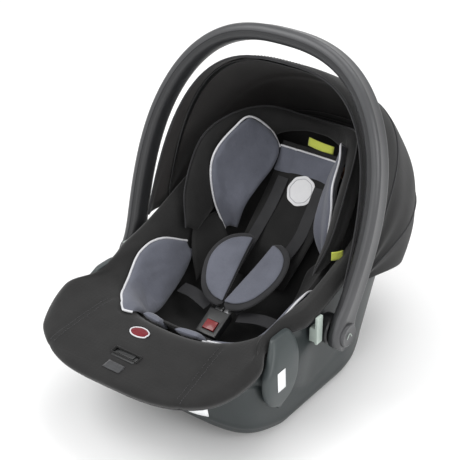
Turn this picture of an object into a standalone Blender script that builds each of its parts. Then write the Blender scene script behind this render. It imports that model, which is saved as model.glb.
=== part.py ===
"""Infant car seat: a rocker-bottomed plastic shell with a foam liner, fabric cover and newborn insert,
a three-point harness, a swinging carry handle with press buttons, and a folding canopy.

Metres, +Z up. The foot end points to -Y and the head end to +Y; left is -X and right is +X, as seen
by someone who stands at the foot end and faces the seat.
"""

import math

import bmesh
import bpy
import numpy as np
from mathutils import Matrix, Vector

# --- driving dimensions ---------------------------------------------------------------------------
FOOT_TIP_Y = -0.3215
HALF_WIDTH = 0.170                      # fabric edge of the seat
RIM = ((-0.322, 0.137), (-0.260, 0.136), (-0.200, 0.151), (-0.120, 0.168), (-0.030, 0.188),
       (0.060, 0.224), (0.160, 0.268), (0.262, 0.306))   # (y, height) along the rim, foot to head
RING_POINTS = 72                        # points round each ring of the seat's surfaces
FLAT_START_Y, FLAT_END_Y = -0.105, 0.065   # the stretch of the runners that rests on the floor
SHELL_WALL = 0.0035
COVER_CLOTH = 0.0025
LINER_FOAM = 0.009
LINER_CLEARANCE = 0.0012                # under the cover
WELL_MIDDLE = np.array([0.0, -0.030, 0.250])   # a point that every side of the well faces
HEAD_MIDDLE = np.array([0.0, 0.050, 0.280])    # the same, for the pads round the head
WING_FOAM, PILLOW_FOAM = 0.012, 0.013
GAP = 0.0003                            # between pieces that touch
GUIDE_Y, GUIDE_PINCH = -0.138, 0.120    # middle of the belt guides, and how far the rim narrows there
SHELL_PINCH = 0.096                     # the same, for the shell's edge under the cover

HANDLE_Y, HANDLE_Z = -0.036, 0.140      # the handle's pivot axis, along X
HANDLE_REACH = 0.379                    # from that axis to the middle of the grip
HANDLE_TILT = math.radians(20)          # carry position, leaning towards the head end
HANDLE_X_PIVOT, HANDLE_X_WIDE = 0.192, 0.2085
HUB_RADIUS = 0.0245
HUB_PLATE_X = (0.1650, 0.1812)
PIN_RADIUS = 0.0045
BUTTON_RADIUS = 0.0175
BUTTON_X = (0.1985, 0.2065)
SPRING_X = (0.1926, 0.1980)

CANOPY_Y, CANOPY_Z = 0.025, 0.190       # the canopy bow's pivot axis, along X
CANOPY_CLOTH = 0.0022
BOW_TILT = math.radians(16.5)

SIDES = ((-1, "left"), (1, "right"))

FABRIC_BLACK = (0.022, 0.022, 0.024)
FABRIC_GREY = (0.125, 0.132, 0.165)
SHELL_PLASTIC = (0.038, 0.046, 0.048)
HANDLE_PLASTIC = (0.075, 0.077, 0.082)
DARK_PLASTIC = (0.020, 0.021, 0.022)
POD_PLASTIC = (0.060, 0.074, 0.076)
PALE_PLASTIC = (0.33, 0.38, 0.35)
BUTTON_RED = (0.45, 0.02, 0.02)
STEEL = (0.55, 0.55, 0.56)
FOAM = (0.75, 0.75, 0.74)
WEBBING = (0.030, 0.030, 0.033)


# --- small tools ----------------------------------------------------------------------------------
def material(name, colour, roughness, metallic=0.0):
    """The Principled BSDF of this name, made once."""
    found = bpy.data.materials.get(name)
    if found:
        return found
    made = bpy.data.materials.new(name)
    made.use_nodes = True
    shader = made.node_tree.nodes["Principled BSDF"]
    shader.inputs["Base Color"].default_value = (*colour, 1.0)
    shader.inputs["Roughness"].default_value = roughness
    shader.inputs["Metallic"].default_value = metallic
    return made


def make(name, points, faces, colour, roughness=0.6, metallic=0.0, origin=(0, 0, 0), parent=None):
    """A mesh object whose origin is at the given point and whose faces all point out."""
    mesh = bpy.data.meshes.new(name)
    mesh.from_pydata([tuple(np.subtract(p, origin)) for p in points], [], faces)
    work = bmesh.new()
    work.from_mesh(mesh)
    bmesh.ops.recalc_face_normals(work, faces=work.faces)
    work.to_mesh(mesh)
    work.free()
    mesh.shade_smooth()
    mesh.set_sharp_from_angle(angle=math.radians(40))
    mesh.materials.append(material(name, colour, roughness, metallic))
    made = bpy.data.objects.new(name, mesh)
    made.location = origin
    bpy.context.scene.collection.objects.link(made)
    if parent:
        made.parent = parent
        made.matrix_parent_inverse = Matrix.Translation(parent.location).inverted()
    return made


def pivot(name, at):
    """An empty on a joint's axis, which the moving pieces are parented to."""
    made = bpy.data.objects.new(name, None)
    made.location = at
    made.empty_display_size = 0.03
    bpy.context.scene.collection.objects.link(made)
    return made


def thicken(obj, thickness):
    """Solidify inwards, away from the side that the faces point to."""
    solid = obj.modifiers.new("Thickness", "SOLIDIFY")
    solid.thickness = thickness
    solid.offset = -1
    solid.use_even_offset = True


def cut(obj, cutter):
    hole = obj.modifiers.new("Cut " + cutter.name, "BOOLEAN")
    hole.operation = "DIFFERENCE"
    hole.object = cutter
    hole.solver = "EXACT"
    cutter.hide_render = True
    cutter.display_type = "WIRE"


def bevel(obj, width, segments=2):
    edge = obj.modifiers.new("Rounded edges", "BEVEL")
    edge.width = width
    edge.segments = segments
    edge.limit_method = "ANGLE"
    edge.angle_limit = math.radians(40)


def stack(rings):
    """Points and faces of a closed body through rings of equal length, with a cap at each end."""
    count = len(rings[0])
    points = [p for ring in rings for p in ring]
    faces = []
    for k in range(len(rings) - 1):
        for i in range(count):
            j = (i + 1) % count
            faces.append((k * count + i, k * count + j, (k + 1) * count + j, (k + 1) * count + i))
    faces.append(tuple(range(count)))
    faces.append(tuple(range((len(rings) - 1) * count, len(rings) * count)))
    return points, faces


def grid_faces(rows, columns, closed=False):
    last = columns if closed else columns - 1
    return [
        (r * columns + c, r * columns + (c + 1) % columns,
         (r + 1) * columns + (c + 1) % columns, (r + 1) * columns + c)
        for r in range(rows - 1)
        for c in range(last)
    ]


def turned(name, profile, x_side, centre, colour, segments=24, **look):
    """A round piece about the X axis: profile is (x, radius) pairs, mirrored to the side x_side."""
    rings = [
        [(x_side * x, centre[0] + r * math.cos(a), centre[1] + r * math.sin(a))
         for a in np.linspace(0, 2 * math.pi, segments, endpoint=False)]
        for x, r in profile
    ]
    return make(name, *stack(rings), colour, **look)


def box(name, size, centre, colour, tilt=0.0, edge=0.0, **look):
    """A box turned by tilt about X, with its edges rounded."""
    turn = Matrix.Rotation(tilt, 3, "X")
    half = Vector(size) / 2
    rings = [
        [tuple(Vector(centre) + turn @ Vector((sx * half.x, sy * half.y, sz * half.z)))
         for sx, sy in ((-1, -1), (1, -1), (1, 1), (-1, 1))]
        for sz in (-1, 1)
    ]
    made = make(name, *stack(rings), colour, **look)
    if edge:
        bevel(made, edge)
    return made


def ribbon(name, route, width, thickness, colour, across=(1, 0, 0), samples=6, **look):
    """A flat strap along a smooth curve through the route's points."""
    centre = smooth_route(route, samples)
    across = Vector(across).normalized()
    rings = []
    for k, point in enumerate(centre):
        ahead = Vector(centre[min(k + 1, len(centre) - 1)]) - Vector(centre[max(k - 1, 0)])
        side = (across - across.project(ahead)).normalized() * width / 2
        up = ahead.cross(side).normalized() * thickness / 2
        rings.append([tuple(Vector(point) + a * side + b * up)
                      for a, b in ((-1, -1), (1, -1), (1, 1), (-1, 1))])
    return make(name, *stack(rings), colour, **look)


def smooth_route(route, samples):
    """Catmull-Rom points through the route."""
    route = [Vector(p) for p in route]
    padded = [2 * route[0] - route[1], *route, 2 * route[-1] - route[-2]]
    found = []
    for a, b, c, d in zip(padded, padded[1:], padded[2:], padded[3:]):
        for t in np.linspace(0, 1, samples, endpoint=False):
            found.append(0.5 * (2 * b + (c - a) * t + (2 * a - 5 * b + 4 * c - d) * t * t
                                + (3 * b - a - 3 * c + d) * t ** 3))
    return [tuple(p) for p in (*found, route[-1])]


def slab(name, front, thickness, colour, gap=0.0, **look):
    """A pad from a grid of points on its front: the back is offset by thickness, and edges are rounded."""
    front = np.array(front, float)
    normal = grid_normals(front, closed=False)
    rows, columns = front.shape[:2]
    back = front - normal * thickness
    front = front - normal * gap
    rim = [(0, c) for c in range(columns)] + [(r, columns - 1) for r in range(1, rows)]
    rim += [(rows - 1, c) for c in range(columns - 2, -1, -1)] + [(r, 0) for r in range(rows - 2, 0, -1)]
    count = rows * columns
    faces = grid_faces(rows, columns)
    faces += [tuple(count + i for i in f[::-1]) for f in faces]
    for (r0, c0), (r1, c1) in zip(rim, rim[1:] + rim[:1]):
        a, b = r0 * columns + c0, r1 * columns + c1
        faces.append((a, count + a, count + b, b))
    points = np.concatenate([front.reshape(-1, 3), back.reshape(-1, 3)])
    return make(name, points, faces, colour, **look)


def grid_normals(grid, closed):
    """Unit normals of a grid of points, from the differences along its rows and columns."""
    if closed:
        along = np.roll(grid, -1, axis=1) - np.roll(grid, 1, axis=1)
    else:
        along = np.gradient(grid, axis=1)
    down = np.gradient(grid, axis=0)
    normal = np.cross(along, down)
    return normal / np.linalg.norm(normal, axis=2, keepdims=True)


def facing(grid, point):
    """The grid with its columns in the order that turns its faces towards a point."""
    grid = np.array(grid, float)
    away = np.sum(grid_normals(grid, closed=False) * (np.array(point) - grid)) < 0
    return grid[:, ::-1] if away else grid


def disc_grid(count):
    """(u, v) points of a square grid squeezed into a rounded square, for a pad's soft outline."""
    line = np.linspace(-1, 1, count)
    u, v = np.meshgrid(line, line)
    return u * np.sqrt(1 - 0.38 * v * v), v * np.sqrt(1 - 0.38 * u * u)


# --- the seat's surfaces --------------------------------------------------------------------------
def rocker(y):
    """Height of the runners' undersides, flat between FLAT_START_Y and FLAT_END_Y."""
    ahead = np.maximum(FLAT_START_Y - y, 0)
    behind = np.maximum(y - FLAT_END_Y, 0)
    return 0.31 * ahead ** 2 / (ahead + 0.006) + 0.55 * behind ** 2 / (behind + 0.03)


def rim_height(y):
    """Height of the rim at y: a smooth curve through the points of RIM."""
    at, high = np.array(RIM).T
    slope = np.gradient(high, at)
    k = np.clip(np.searchsorted(at, y) - 1, 0, len(at) - 2)
    step = at[k + 1] - at[k]
    t = (y - at[k]) / step
    return ((2 * t ** 3 - 3 * t ** 2 + 1) * high[k] + (t ** 3 - 2 * t ** 2 + t) * step * slope[k]
            + (3 * t ** 2 - 2 * t ** 3) * high[k + 1] + (t ** 3 - t ** 2) * step * slope[k + 1])


def ring(front, rear, half_width, heights=(0, 0, 0), square=3.1, tail=2.8, base=None):
    """A closed ring round the seat. heights are at its front, middle and rear, above base if there is one."""
    angle = np.linspace(0, 2 * math.pi, RING_POINTS, endpoint=False)
    along = (1 - np.cos(angle)) / 2
    y = front + (rear - front) * along
    ahead = np.maximum(0.34 - along, 0) / 0.34
    behind = np.maximum(along - 0.55, 0) / 0.45
    wide = (1 - ahead ** square) ** (1 / square) * (1 - behind ** tail) ** (1 / tail)
    x = half_width * wide * np.sign(np.sin(angle))
    a, b, c = heights
    z = a * (1 - 2 * along) * (1 - along) + 4 * b * along * (1 - along) + c * along * (2 * along - 1)
    if base:
        z = z + base(y)
    return np.stack([x, y, z], axis=1)


def rim_ring(front, rear, half_width, by, pinch=GUIDE_PINCH):
    """A ring that follows the rim, raised by a little, and is pinched in where the belt guides stand."""
    points = ring(front, rear, half_width, (by,) * 3, base=rim_height)
    points[:, 0] *= 1 - pinch * np.exp(-((points[:, 1] - GUIDE_Y) / 0.042) ** 4)
    return points


def shell_rings():
    """The plastic shell's outside, from the rim down the flanks and in to the middle of its underside."""
    return [
        rim_ring(-0.298, 0.238, 0.1540, -0.004, SHELL_PINCH),
        rim_ring(-0.290, 0.241, 0.1545, -0.016, SHELL_PINCH),
        ring(-0.226, 0.258, 0.1620, (0.112, 0.140, 0.200), 5, 2.3),
        ring(-0.217, 0.252, 0.1600, (0.080, 0.085, 0.160), 6, 2.0),
        ring(-0.206, 0.236, 0.1520, (0.018,) * 3, 6, 1.8, rocker),
        ring(-0.194, 0.221, 0.1400, (0.0,) * 3, 6, 1.8, rocker),
        ring(-0.179, 0.201, 0.1180, (0.0,) * 3, 5, 1.8, rocker),
        ring(-0.164, 0.176, 0.0980, (0.022,) * 3, 4, 1.8, rocker),
        ring(-0.060, 0.100, 0.0450, (0.040,) * 3, 3.1),
    ]


def well_rings():
    """The inside of the seat: the edge of the well, half way down, the edge of its floor, the floor."""
    return [
        ring(-0.205, 0.228, 0.1365, (0.160, 0.194, 0.302), 2.6),
        ring(-0.160, 0.150, 0.115, (0.115, 0.115, 0.190), 2.6),
        ring(-0.125, 0.010, 0.092, (0.078, 0.074, 0.082), 2.6),
        ring(-0.100, -0.030, 0.035, (0.070,) * 3, 2.4),
    ]


def cover_rings():
    """The fabric cover's outside: its skirt, round the edge, over the crest and down the well."""
    return [
        rim_ring(-0.3065, 0.2480, 0.1625, -0.011),
        rim_ring(-0.3165, 0.2570, 0.1680, -0.007),
        rim_ring(FOOT_TIP_Y, 0.2610, HALF_WIDTH, 0.001),
        rim_ring(-0.3175, 0.2570, 0.1675, 0.008),
        rim_ring(-0.2970, 0.2420, 0.1570, 0.013),
        *well_rings(),
    ]


def surface(name, rings, thickness, colour, roughness, outwards=False):
    """A sheet through the rings, closed over the last one. Its thickness goes inwards, or outwards."""
    points = np.concatenate(rings)
    faces = grid_faces(len(rings), RING_POINTS, closed=True)
    faces.append(tuple((len(rings) - 1) * RING_POINTS + i for i in range(RING_POINTS)))
    made = make(name, points, faces, colour, roughness)
    if outwards:
        made.data.flip_normals()
    thicken(made, thickness)
    return made


def well_point(angle, depth):
    """A point inside the well: the angle is 0 at the foot and pi at the head; depth is 0 to 3, ring to ring."""
    rings = well_rings()
    level = int(min(max(math.floor(depth), 0), len(rings) - 2))
    share = depth - level
    place = (angle % (2 * math.pi)) / (2 * math.pi) * RING_POINTS
    i = int(math.floor(place)) % RING_POINTS
    j, between = (i + 1) % RING_POINTS, place - math.floor(place)
    upper = rings[level][i] * (1 - between) + rings[level][j] * between
    lower = rings[level + 1][i] * (1 - between) + rings[level + 1][j] * between
    return upper * (1 - share) + lower * share


def well_pad(name, angles, depths, thickness, colour, lift=0.0025, count=7, **look):
    """A pad that lies on the well's side over a range of angles and depths."""
    u, v = disc_grid(count)
    middle_angle, half_angle = (angles[0] + angles[1]) / 2, (angles[1] - angles[0]) / 2
    middle_depth, half_depth = (depths[0] + depths[1]) / 2, (depths[1] - depths[0]) / 2
    lying = np.array([[well_point(middle_angle + half_angle * a, middle_depth + half_depth * b)
                       for a, b in zip(*rows)] for rows in zip(u, v)])
    lying = facing(lying, WELL_MIDDLE)
    front = lying + grid_normals(lying, closed=False) * (thickness + lift)
    return slab(name, front, thickness, colour, **look)


# --- shell, liner and cover -----------------------------------------------------------------------
def seat_shell():
    """The moulded tub that everything is fixed to, open at the rim."""
    surface("seat_shell", shell_rings(), SHELL_WALL, SHELL_PLASTIC, 0.5)


def foam_liner():
    """Energy-absorbing foam under the cover, clear of it by a millimetre."""
    edge, side, *floor = well_rings()
    rings = [0.6 * edge + 0.4 * side, side, *floor]
    grid = np.array(rings)
    normal = grid_normals(grid, closed=True)
    if np.sum(normal * (WELL_MIDDLE - grid)) < 0:
        normal = -normal
    sheet = grid - normal * (COVER_CLOTH + LINER_CLEARANCE)
    return surface("foam_liner", list(sheet), LINER_FOAM, FOAM, 0.9, outwards=True)


def seat_cover():
    return surface("seat_cover", cover_rings(), COVER_CLOTH, FABRIC_BLACK, 0.95)


# --- newborn insert -------------------------------------------------------------------------------
def thigh_pad(side, word):
    middle = math.pi - side * (math.pi - 1.20)
    low, high = sorted((middle - side * 0.42, middle + side * 0.40))
    well_pad("thigh_pad_" + word, (low, high), (0.08, 1.80), 0.013, FABRIC_GREY)


def back_panel():
    """The padded panel behind the child's back, from the seat up to the head."""
    middle = smooth_route([(0, 0.030, 0.120), (0, 0.085, 0.167), (0, 0.135, 0.213), (0, 0.163, 0.252),
                           (0, 0.176, 0.290)], 2)
    rows = []
    for k, (_, y, z) in enumerate(middle):
        half = 0.050 + 0.006 * math.sin(math.pi * k / (len(middle) - 1))
        rows.append([(half * s, y - 0.006 * s * s, z + 0.003 * s * s) for s in np.linspace(-1, 1, 7)])
    slab("back_panel", rows, 0.012, FABRIC_BLACK, roughness=0.95)


def head_wing(side, word):
    """A side support for the head: a leaf that turns forward from the edge of the back panel."""
    front_edge = smooth_route([(0.092, 0.072, 0.164), (0.104, 0.062, 0.214), (0.108, 0.061, 0.266),
                               (0.103, 0.070, 0.298), (0.092, 0.098, 0.322)], 2)
    rear_edge = smooth_route([(0.078, 0.090, 0.170), (0.064, 0.094, 0.208), (0.060, 0.118, 0.240),
                              (0.064, 0.140, 0.272), (0.072, 0.142, 0.300)], 2)
    rows = []
    for ahead, behind in zip(front_edge, rear_edge):
        row = []
        for share in np.linspace(0, 1, 5):
            x, y, z = np.array(ahead) * (1 - share) + np.array(behind) * share
            row.append((side * x, y, z))
        rows.append(row)
    slab("head_wing_" + word, facing(rows, HEAD_MIDDLE), WING_FOAM, FABRIC_GREY, roughness=0.95)


def head_pillow():
    """The bolster in the shape of a U that stands round the child's head, behind the head wings."""
    upper = [(0.120, -0.004, 0.196), (0.134, 0.024, 0.243), (0.133, 0.062, 0.308), (0.114, 0.112, 0.337),
             (0.082, 0.163, 0.348), (0.036, 0.190, 0.350), (0.0, 0.197, 0.350)]
    lower = [(0.114, 0.030, 0.178), (0.1135, 0.066, 0.200), (0.106, 0.102, 0.232), (0.096, 0.140, 0.268),
             (0.068, 0.175, 0.298), (0.032, 0.190, 0.306), (0.0, 0.194, 0.307)]
    rows = []
    for high, low in zip(smooth_route(upper, 2), smooth_route(lower, 2)):
        rows.append([np.array(low) * (1 - share) + np.array(high) * share for share in np.linspace(0, 1, 4)])
    right = np.array(rows)
    left = right[-2::-1] * np.array([-1, 1, 1])
    whole = facing(np.concatenate([right, left]), HEAD_MIDDLE)
    slab("head_pillow", whole, PILLOW_FOAM, FABRIC_BLACK, roughness=0.95)


# --- harness --------------------------------------------------------------------------------------
HARNESS_TILT = math.atan2(0.475, 0.88)
BUCKLE_AT = Vector((0, -0.078, 0.0985))
ALONG = Vector((0, math.cos(HARNESS_TILT), math.sin(HARNESS_TILT)))
OUT = Vector((0, -math.sin(HARNESS_TILT), math.cos(HARNESS_TILT)))
STRAP_WIDTH, STRAP_THICKNESS = 0.025, 0.0016
CHEST_LIFT, CHEST_CURVE, CHEST_FOAM = 0.0145, 2.0, 0.0095   # the chest pads' face over the buckle


def buckle():
    at, size = BUCKLE_AT, Vector((0.036, 0.044, 0.015))
    housing = box("buckle_housing", size, at, DARK_PLASTIC, HARNESS_TILT, roughness=0.35)
    pocket = box("buckle_pocket", (0.0206, 0.0166, 0.010), at - 0.006 * ALONG + 0.0075 * OUT,
                 DARK_PLASTIC, HARNESS_TILT)
    mouth = box("buckle_mouth", (0.0306, 0.0200, 0.0030), at + 0.018 * ALONG, DARK_PLASTIC, HARNESS_TILT)
    cut(housing, pocket)
    cut(housing, mouth)
    box("buckle_button", (0.0200, 0.0160, 0.0040), at - 0.006 * ALONG + 0.0072 * OUT, BUTTON_RED,
        HARNESS_TILT, edge=0.0008, roughness=0.35)
    for side, word in SIDES:
        box("buckle_tongue_" + word, (0.0125, 0.0200, 0.0020),
            at + Vector((side * 0.0078, 0, 0)) + 0.0205 * ALONG, STEEL, HARNESS_TILT, roughness=0.25,
            metallic=1.0)
    end = at - 0.0228 * ALONG
    ribbon("crotch_strap", [end, end - 0.009 * ALONG - 0.001 * OUT, (0, -0.1095, 0.0745)],
           STRAP_WIDTH, STRAP_THICKNESS, WEBBING, samples=3)


def crotch_pad():
    """A short padded tongue on the front slope of the well, where the crotch strap comes up."""
    well_pad("crotch_pad", (-0.42, 0.42), (0.55, 1.75), 0.008, FABRIC_GREY, count=6)


def chest_pad(side, word):
    """Half of the heart-shaped pad on the shoulder straps, whose halves close over the child's tummy."""
    inner_edge = [(0.0008, 0.031, 0), (0.0060, 0.070, 0), (0.0120, 0.110, 0), (0.0180, 0.153, 0)]
    outer_edge = [(0.0065, 0.0250, 0), (0.0280, 0.0285, 0), (0.0500, 0.0460, 0), (0.0650, 0.0780, 0),
                  (0.0680, 0.1070, 0), (0.0600, 0.1330, 0), (0.0440, 0.1490, 0), (0.0270, 0.1555, 0)]
    inner, outer = smooth_route(inner_edge, 7), smooth_route(outer_edge, 3)
    rows = []
    for near, far in zip(inner, outer):
        row = []
        for share in np.linspace(0, 1, 5):
            x, along, _ = np.array(near) * (1 - share) + np.array(far) * share
            point = BUCKLE_AT + ALONG * along + OUT * (CHEST_LIFT + CHEST_CURVE * x * x)
            row.append((side * x, point.y, point.z))
        rows.append(row)
    front = facing(rows, BUCKLE_AT + OUT)
    slab("chest_pad_" + word, front, CHEST_FOAM, FABRIC_GREY, roughness=0.95)


def straps(side, word):
    lie = 0.0035
    start = BUCKLE_AT + 0.0325 * ALONG + Vector((side * 0.014, 0, 0))
    ribbon("shoulder_strap_" + word,
           [start, start + 0.025 * ALONG + Vector((side * 0.010, 0, 0)), (side * 0.036, 0.074, 0.172),
            (side * 0.035, 0.116, 0.2055), (side * 0.034, 0.147, 0.2410)],
           0.020, STRAP_THICKNESS, WEBBING, samples=4)
    ribbon("hip_strap_" + word,
           [start + Vector((side * 0.013, -0.006, -0.004)), (side * 0.062, -0.048, 0.112 + lie),
            (side * 0.0900, -0.042, 0.112)],
           0.020, STRAP_THICKNESS, WEBBING, across=(0, 1, 0.3), samples=4)


ADJUSTER_AT = (0, -0.271, 0.140)


def adjuster():
    """The harness adjuster under the foot end: housing, release button and the strap that it grips."""
    x, y, z = ADJUSTER_AT
    housing = box("adjuster_housing", (0.040, 0.020, 0.027), ADJUSTER_AT, DARK_PLASTIC, edge=0.0015,
                  roughness=0.4)
    well = box("adjuster_well", (0.0286, 0.0106, 0.016), (x, y + 0.0012, z + 0.0100), DARK_PLASTIC)
    passage = box("adjuster_passage", (0.0246, 0.030, 0.0034), (x, y, z - 0.0075), DARK_PLASTIC)
    cut(housing, well)
    cut(housing, passage)
    box("adjuster_button", (0.0280, 0.0100, 0.0060), (x, y + 0.0012, z + 0.0120), DARK_PLASTIC,
        edge=0.0008, roughness=0.35)
    ribbon("adjuster_strap",
           [(0, -0.288, 0.1325), (0, -0.271, 0.1325), (0, -0.256, 0.1325), (0, -0.238, 0.1290), (0, -0.215, 0.110),
            (0, -0.190, 0.080), (0, -0.150, 0.0575), (0, -0.100, 0.0510), (0, 0.020, 0.0500),
            (0, 0.100, 0.0880), (0, 0.172, 0.146)],
           0.022, STRAP_THICKNESS, WEBBING, samples=3)
    return housing


def harness_yoke():
    """The steel plate behind the back, which joins both shoulder straps to the adjuster's strap."""
    box("harness_yoke", (0.066, 0.026, 0.0022), (0, 0.1845, 0.1560), STEEL, math.radians(39), edge=0.0006,
        roughness=0.3, metallic=1.0)


# --- belt guides ----------------------------------------------------------------------------------
def belt_guide(side, word):
    """A hooked block on the shell's flank, which the vehicle's lap belt passes under."""
    levels = [   # height, front y, rear y, inner x, outer x
        (0.070, -0.150, -0.138, 0.1645, 0.1690),
        (0.085, -0.172, -0.126, 0.1650, 0.1740),
        (0.110, -0.185, -0.118, 0.1650, 0.1780),
        (0.135, -0.186, -0.114, 0.1650, 0.1775),
        (0.150, -0.176, -0.112, 0.1610, 0.1740),
        (0.165, -0.164, -0.113, 0.1550, 0.1680),
        (0.176, -0.156, -0.117, 0.1520, 0.1615),
    ]
    rings = []
    for z, y0, y1, x0, x1 in levels:
        corner = 0.3 * (x1 - x0)
        rings.append([(side * x, y, z) for x, y in (
            (x0, y0 + corner), (x0, y1 - corner), (x0 + corner, y1), (x1 - corner, y1),
            (x1, y1 - corner), (x1, y0 + corner), (x1 - corner, y0), (x0 + corner, y0))])
    make("belt_guide_" + word, *stack(rings), POD_PLASTIC, 0.5)


def belt_marker(side, word):
    """The pale strip that shows where the vehicle's belt goes, on a foot that stands off the shell."""
    rings = [[(side * x, y, z) for y, z in ((-0.074, low), (-0.061, low), (-0.061, high), (-0.074, high))]
             for x, low, high in ((0.1640, 0.136, 0.158), (0.1725, 0.136, 0.158), (0.1730, 0.133, 0.177),
                                  (0.1765, 0.133, 0.177), (0.1775, 0.134, 0.176))]
    make("belt_marker_" + word, *stack(rings), PALE_PLASTIC, 0.45)


# --- handle ---------------------------------------------------------------------------------------
def handle_middle(turn):
    """Distance along X and from the pivot axis of the handle's middle line, for -90 to 90 degrees."""
    away = HANDLE_REACH * abs(math.cos(turn)) ** (2 / 3.13)
    share = min(max(away - HUB_RADIUS, 0) / (0.7 * HANDLE_REACH - HUB_RADIUS), 1)
    wide = HANDLE_X_PIVOT + (HANDLE_X_WIDE - HANDLE_X_PIVOT) * math.sin(share * math.pi / 2)
    along = abs(math.sin(turn)) ** (2 / 2.56)
    return wide * math.copysign(along, turn), away


def handle_stations():
    """(x, distance from the axis, half width, half thickness) from one leg's end over to the other's."""
    ends = []
    for corner in np.radians([14, 38, 64]):
        ends.append((HANDLE_X_PIVOT, -HUB_RADIUS * math.cos(corner), HUB_RADIUS * math.sin(corner), 0.0105))
    arch = []
    reach = []
    for turn in np.linspace(-math.pi / 2, math.pi / 2, 241):
        reach.append(handle_middle(turn))
    reach = np.array(reach)
    walked = np.concatenate([[0], np.cumsum(np.linalg.norm(np.diff(reach, axis=0), axis=1))])
    half_way = walked[-1] / 2
    for place in half_way * (1 - np.cos(np.linspace(0, math.pi / 2, 19))) * 0.35 \
            + half_way * np.linspace(0, 1, 19) * 0.65:
        x = np.interp(place, walked, reach[:, 0])
        away = np.interp(place, walked, reach[:, 1])
        near_hub = math.exp(-(max(away, 0) / 0.030) ** 2)
        width = 0.0180 + (HUB_RADIUS - 0.0180) * near_hub
        thick = 0.0105 + 0.0015 * min(place / half_way * 1.2, 1)
        arch.append((-x, away, width, thick))
    left = [(-x, away, width, thick) for x, away, width, thick in ends + arch]
    right = [(-x, away, width, thick) for x, away, width, thick in left[-2::-1]]
    return left + right


def handle_half(name, section, colour, parent, **look):
    """A moulding swept along the handle. The section is (across, out) in half widths and thicknesses."""
    stations = handle_stations()
    rise = Vector((0, math.sin(HANDLE_TILT), math.cos(HANDLE_TILT)))
    across = Vector((0, math.cos(HANDLE_TILT), -math.sin(HANDLE_TILT)))
    at = Vector((0, HANDLE_Y, HANDLE_Z))
    rings = []
    for k, (x, away, width, thick) in enumerate(stations):
        before, after = stations[max(k - 1, 0)], stations[min(k + 1, len(stations) - 1)]
        ahead = Vector((after[0] - before[0], 0, 0)) + rise * (after[1] - before[1])
        out = ahead.cross(across).normalized()
        middle = at + Vector((x, 0, 0)) + rise * away
        rings.append([tuple(middle + across * (a * width) + out * (b * thick)) for a, b in section])
    return make(name, *stack(rings), colour, origin=tuple(at), parent=parent, **look)


def handle(joint):
    seam = GAP / 0.0105
    outer = handle_half("handle_outer", [(-1, seam), (1, seam), (0.97, 0.45), (0.62, 1), (-0.62, 1),
                                         (-0.97, 0.45)], HANDLE_PLASTIC, joint, roughness=0.38)
    inner = handle_half("handle_inner", [(-1, 0), (-0.90, -0.6), (-0.62, -1), (0.62, -1), (0.90, -0.6),
                                         (1, 0)], DARK_PLASTIC, joint, roughness=0.4)
    for side, word in SIDES:
        axis = (HANDLE_Y, HANDLE_Z)
        recess = turned("button_recess_" + word, [(0.1850, BUTTON_RADIUS + 0.0004),
                                                  (0.2150, BUTTON_RADIUS + 0.0004)], side, axis, DARK_PLASTIC)
        bore = turned("pin_bore_" + word, [(0.1750, PIN_RADIUS + GAP), (0.1960, PIN_RADIUS + GAP)], side,
                      axis, DARK_PLASTIC)
        cut(outer, recess)
        cut(inner, bore)


def hub(side, word, joint):
    """What holds one leg of the handle: plate, pin, and the spring-loaded release button."""
    axis = (HANDLE_Y, HANDLE_Z)
    plate = turned("hub_plate_" + word, [(HUB_PLATE_X[0], 0.022), (0.1790, 0.022), (HUB_PLATE_X[1], 0.020)],
                   side, axis, DARK_PLASTIC, roughness=0.45)
    bore = turned("plate_bore_" + word, [(0.1600, PIN_RADIUS + GAP), (0.1840, PIN_RADIUS + GAP)], side, axis,
                  DARK_PLASTIC)
    cut(plate, bore)
    turned("pivot_pin_" + word, [(0.1655, PIN_RADIUS), (0.1921, PIN_RADIUS), (0.1922, 0.0068),
                                 (0.1940, 0.0068)], side, axis, STEEL, roughness=0.3, metallic=1.0)
    turned("handle_button_" + word, [(BUTTON_X[0], BUTTON_RADIUS), (BUTTON_X[1] - 0.0012, BUTTON_RADIUS),
                                     (BUTTON_X[1], BUTTON_RADIUS - 0.0016)], side, axis, HANDLE_PLASTIC,
           roughness=0.4, origin=(side * BUTTON_X[0], HANDLE_Y, HANDLE_Z), parent=joint)
    button_spring(side, word, joint)


def button_spring(side, word, joint):
    """A compression spring of two and a half turns behind the release button."""
    turns, per_turn, wire, radius = 2.5, 14, 0.0007, 0.0120
    steps = int(turns * per_turn)
    rings = []
    for k in range(steps + 1):
        angle = 2 * math.pi * k / per_turn
        x = SPRING_X[0] + wire + (SPRING_X[1] - SPRING_X[0] - 2 * wire) * k / steps
        spoke = Vector((0, math.cos(angle), math.sin(angle)))
        centre = Vector((side * x, HANDLE_Y, HANDLE_Z)) + radius * spoke
        rings.append([tuple(centre + wire * (math.cos(a) * spoke + math.sin(a) * Vector((1, 0, 0))))
                      for a in np.linspace(0, 2 * math.pi, 5, endpoint=False)])
    make("button_spring_" + word, *stack(rings), STEEL, 0.3, 1.0,
         origin=(side * SPRING_X[0], HANDLE_Y, HANDLE_Z), parent=joint)


# --- canopy ---------------------------------------------------------------------------------------
def canopy_arc(tilt, half_width, reach, start, count):
    """An arc of the canopy at one tilt about its pivot, from one side over the top to the other."""
    low = math.asin((start / reach) ** 1.5)
    points = []
    for turn in np.linspace(low, math.pi - low, count):
        x = -half_width * math.copysign(abs(math.cos(turn)) ** (2 / 3), math.cos(turn))
        away = reach * math.sin(turn) ** (2 / 3)
        points.append((x, CANOPY_Y + away * math.sin(tilt), CANOPY_Z + away * math.cos(tilt)))
    return points


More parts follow.
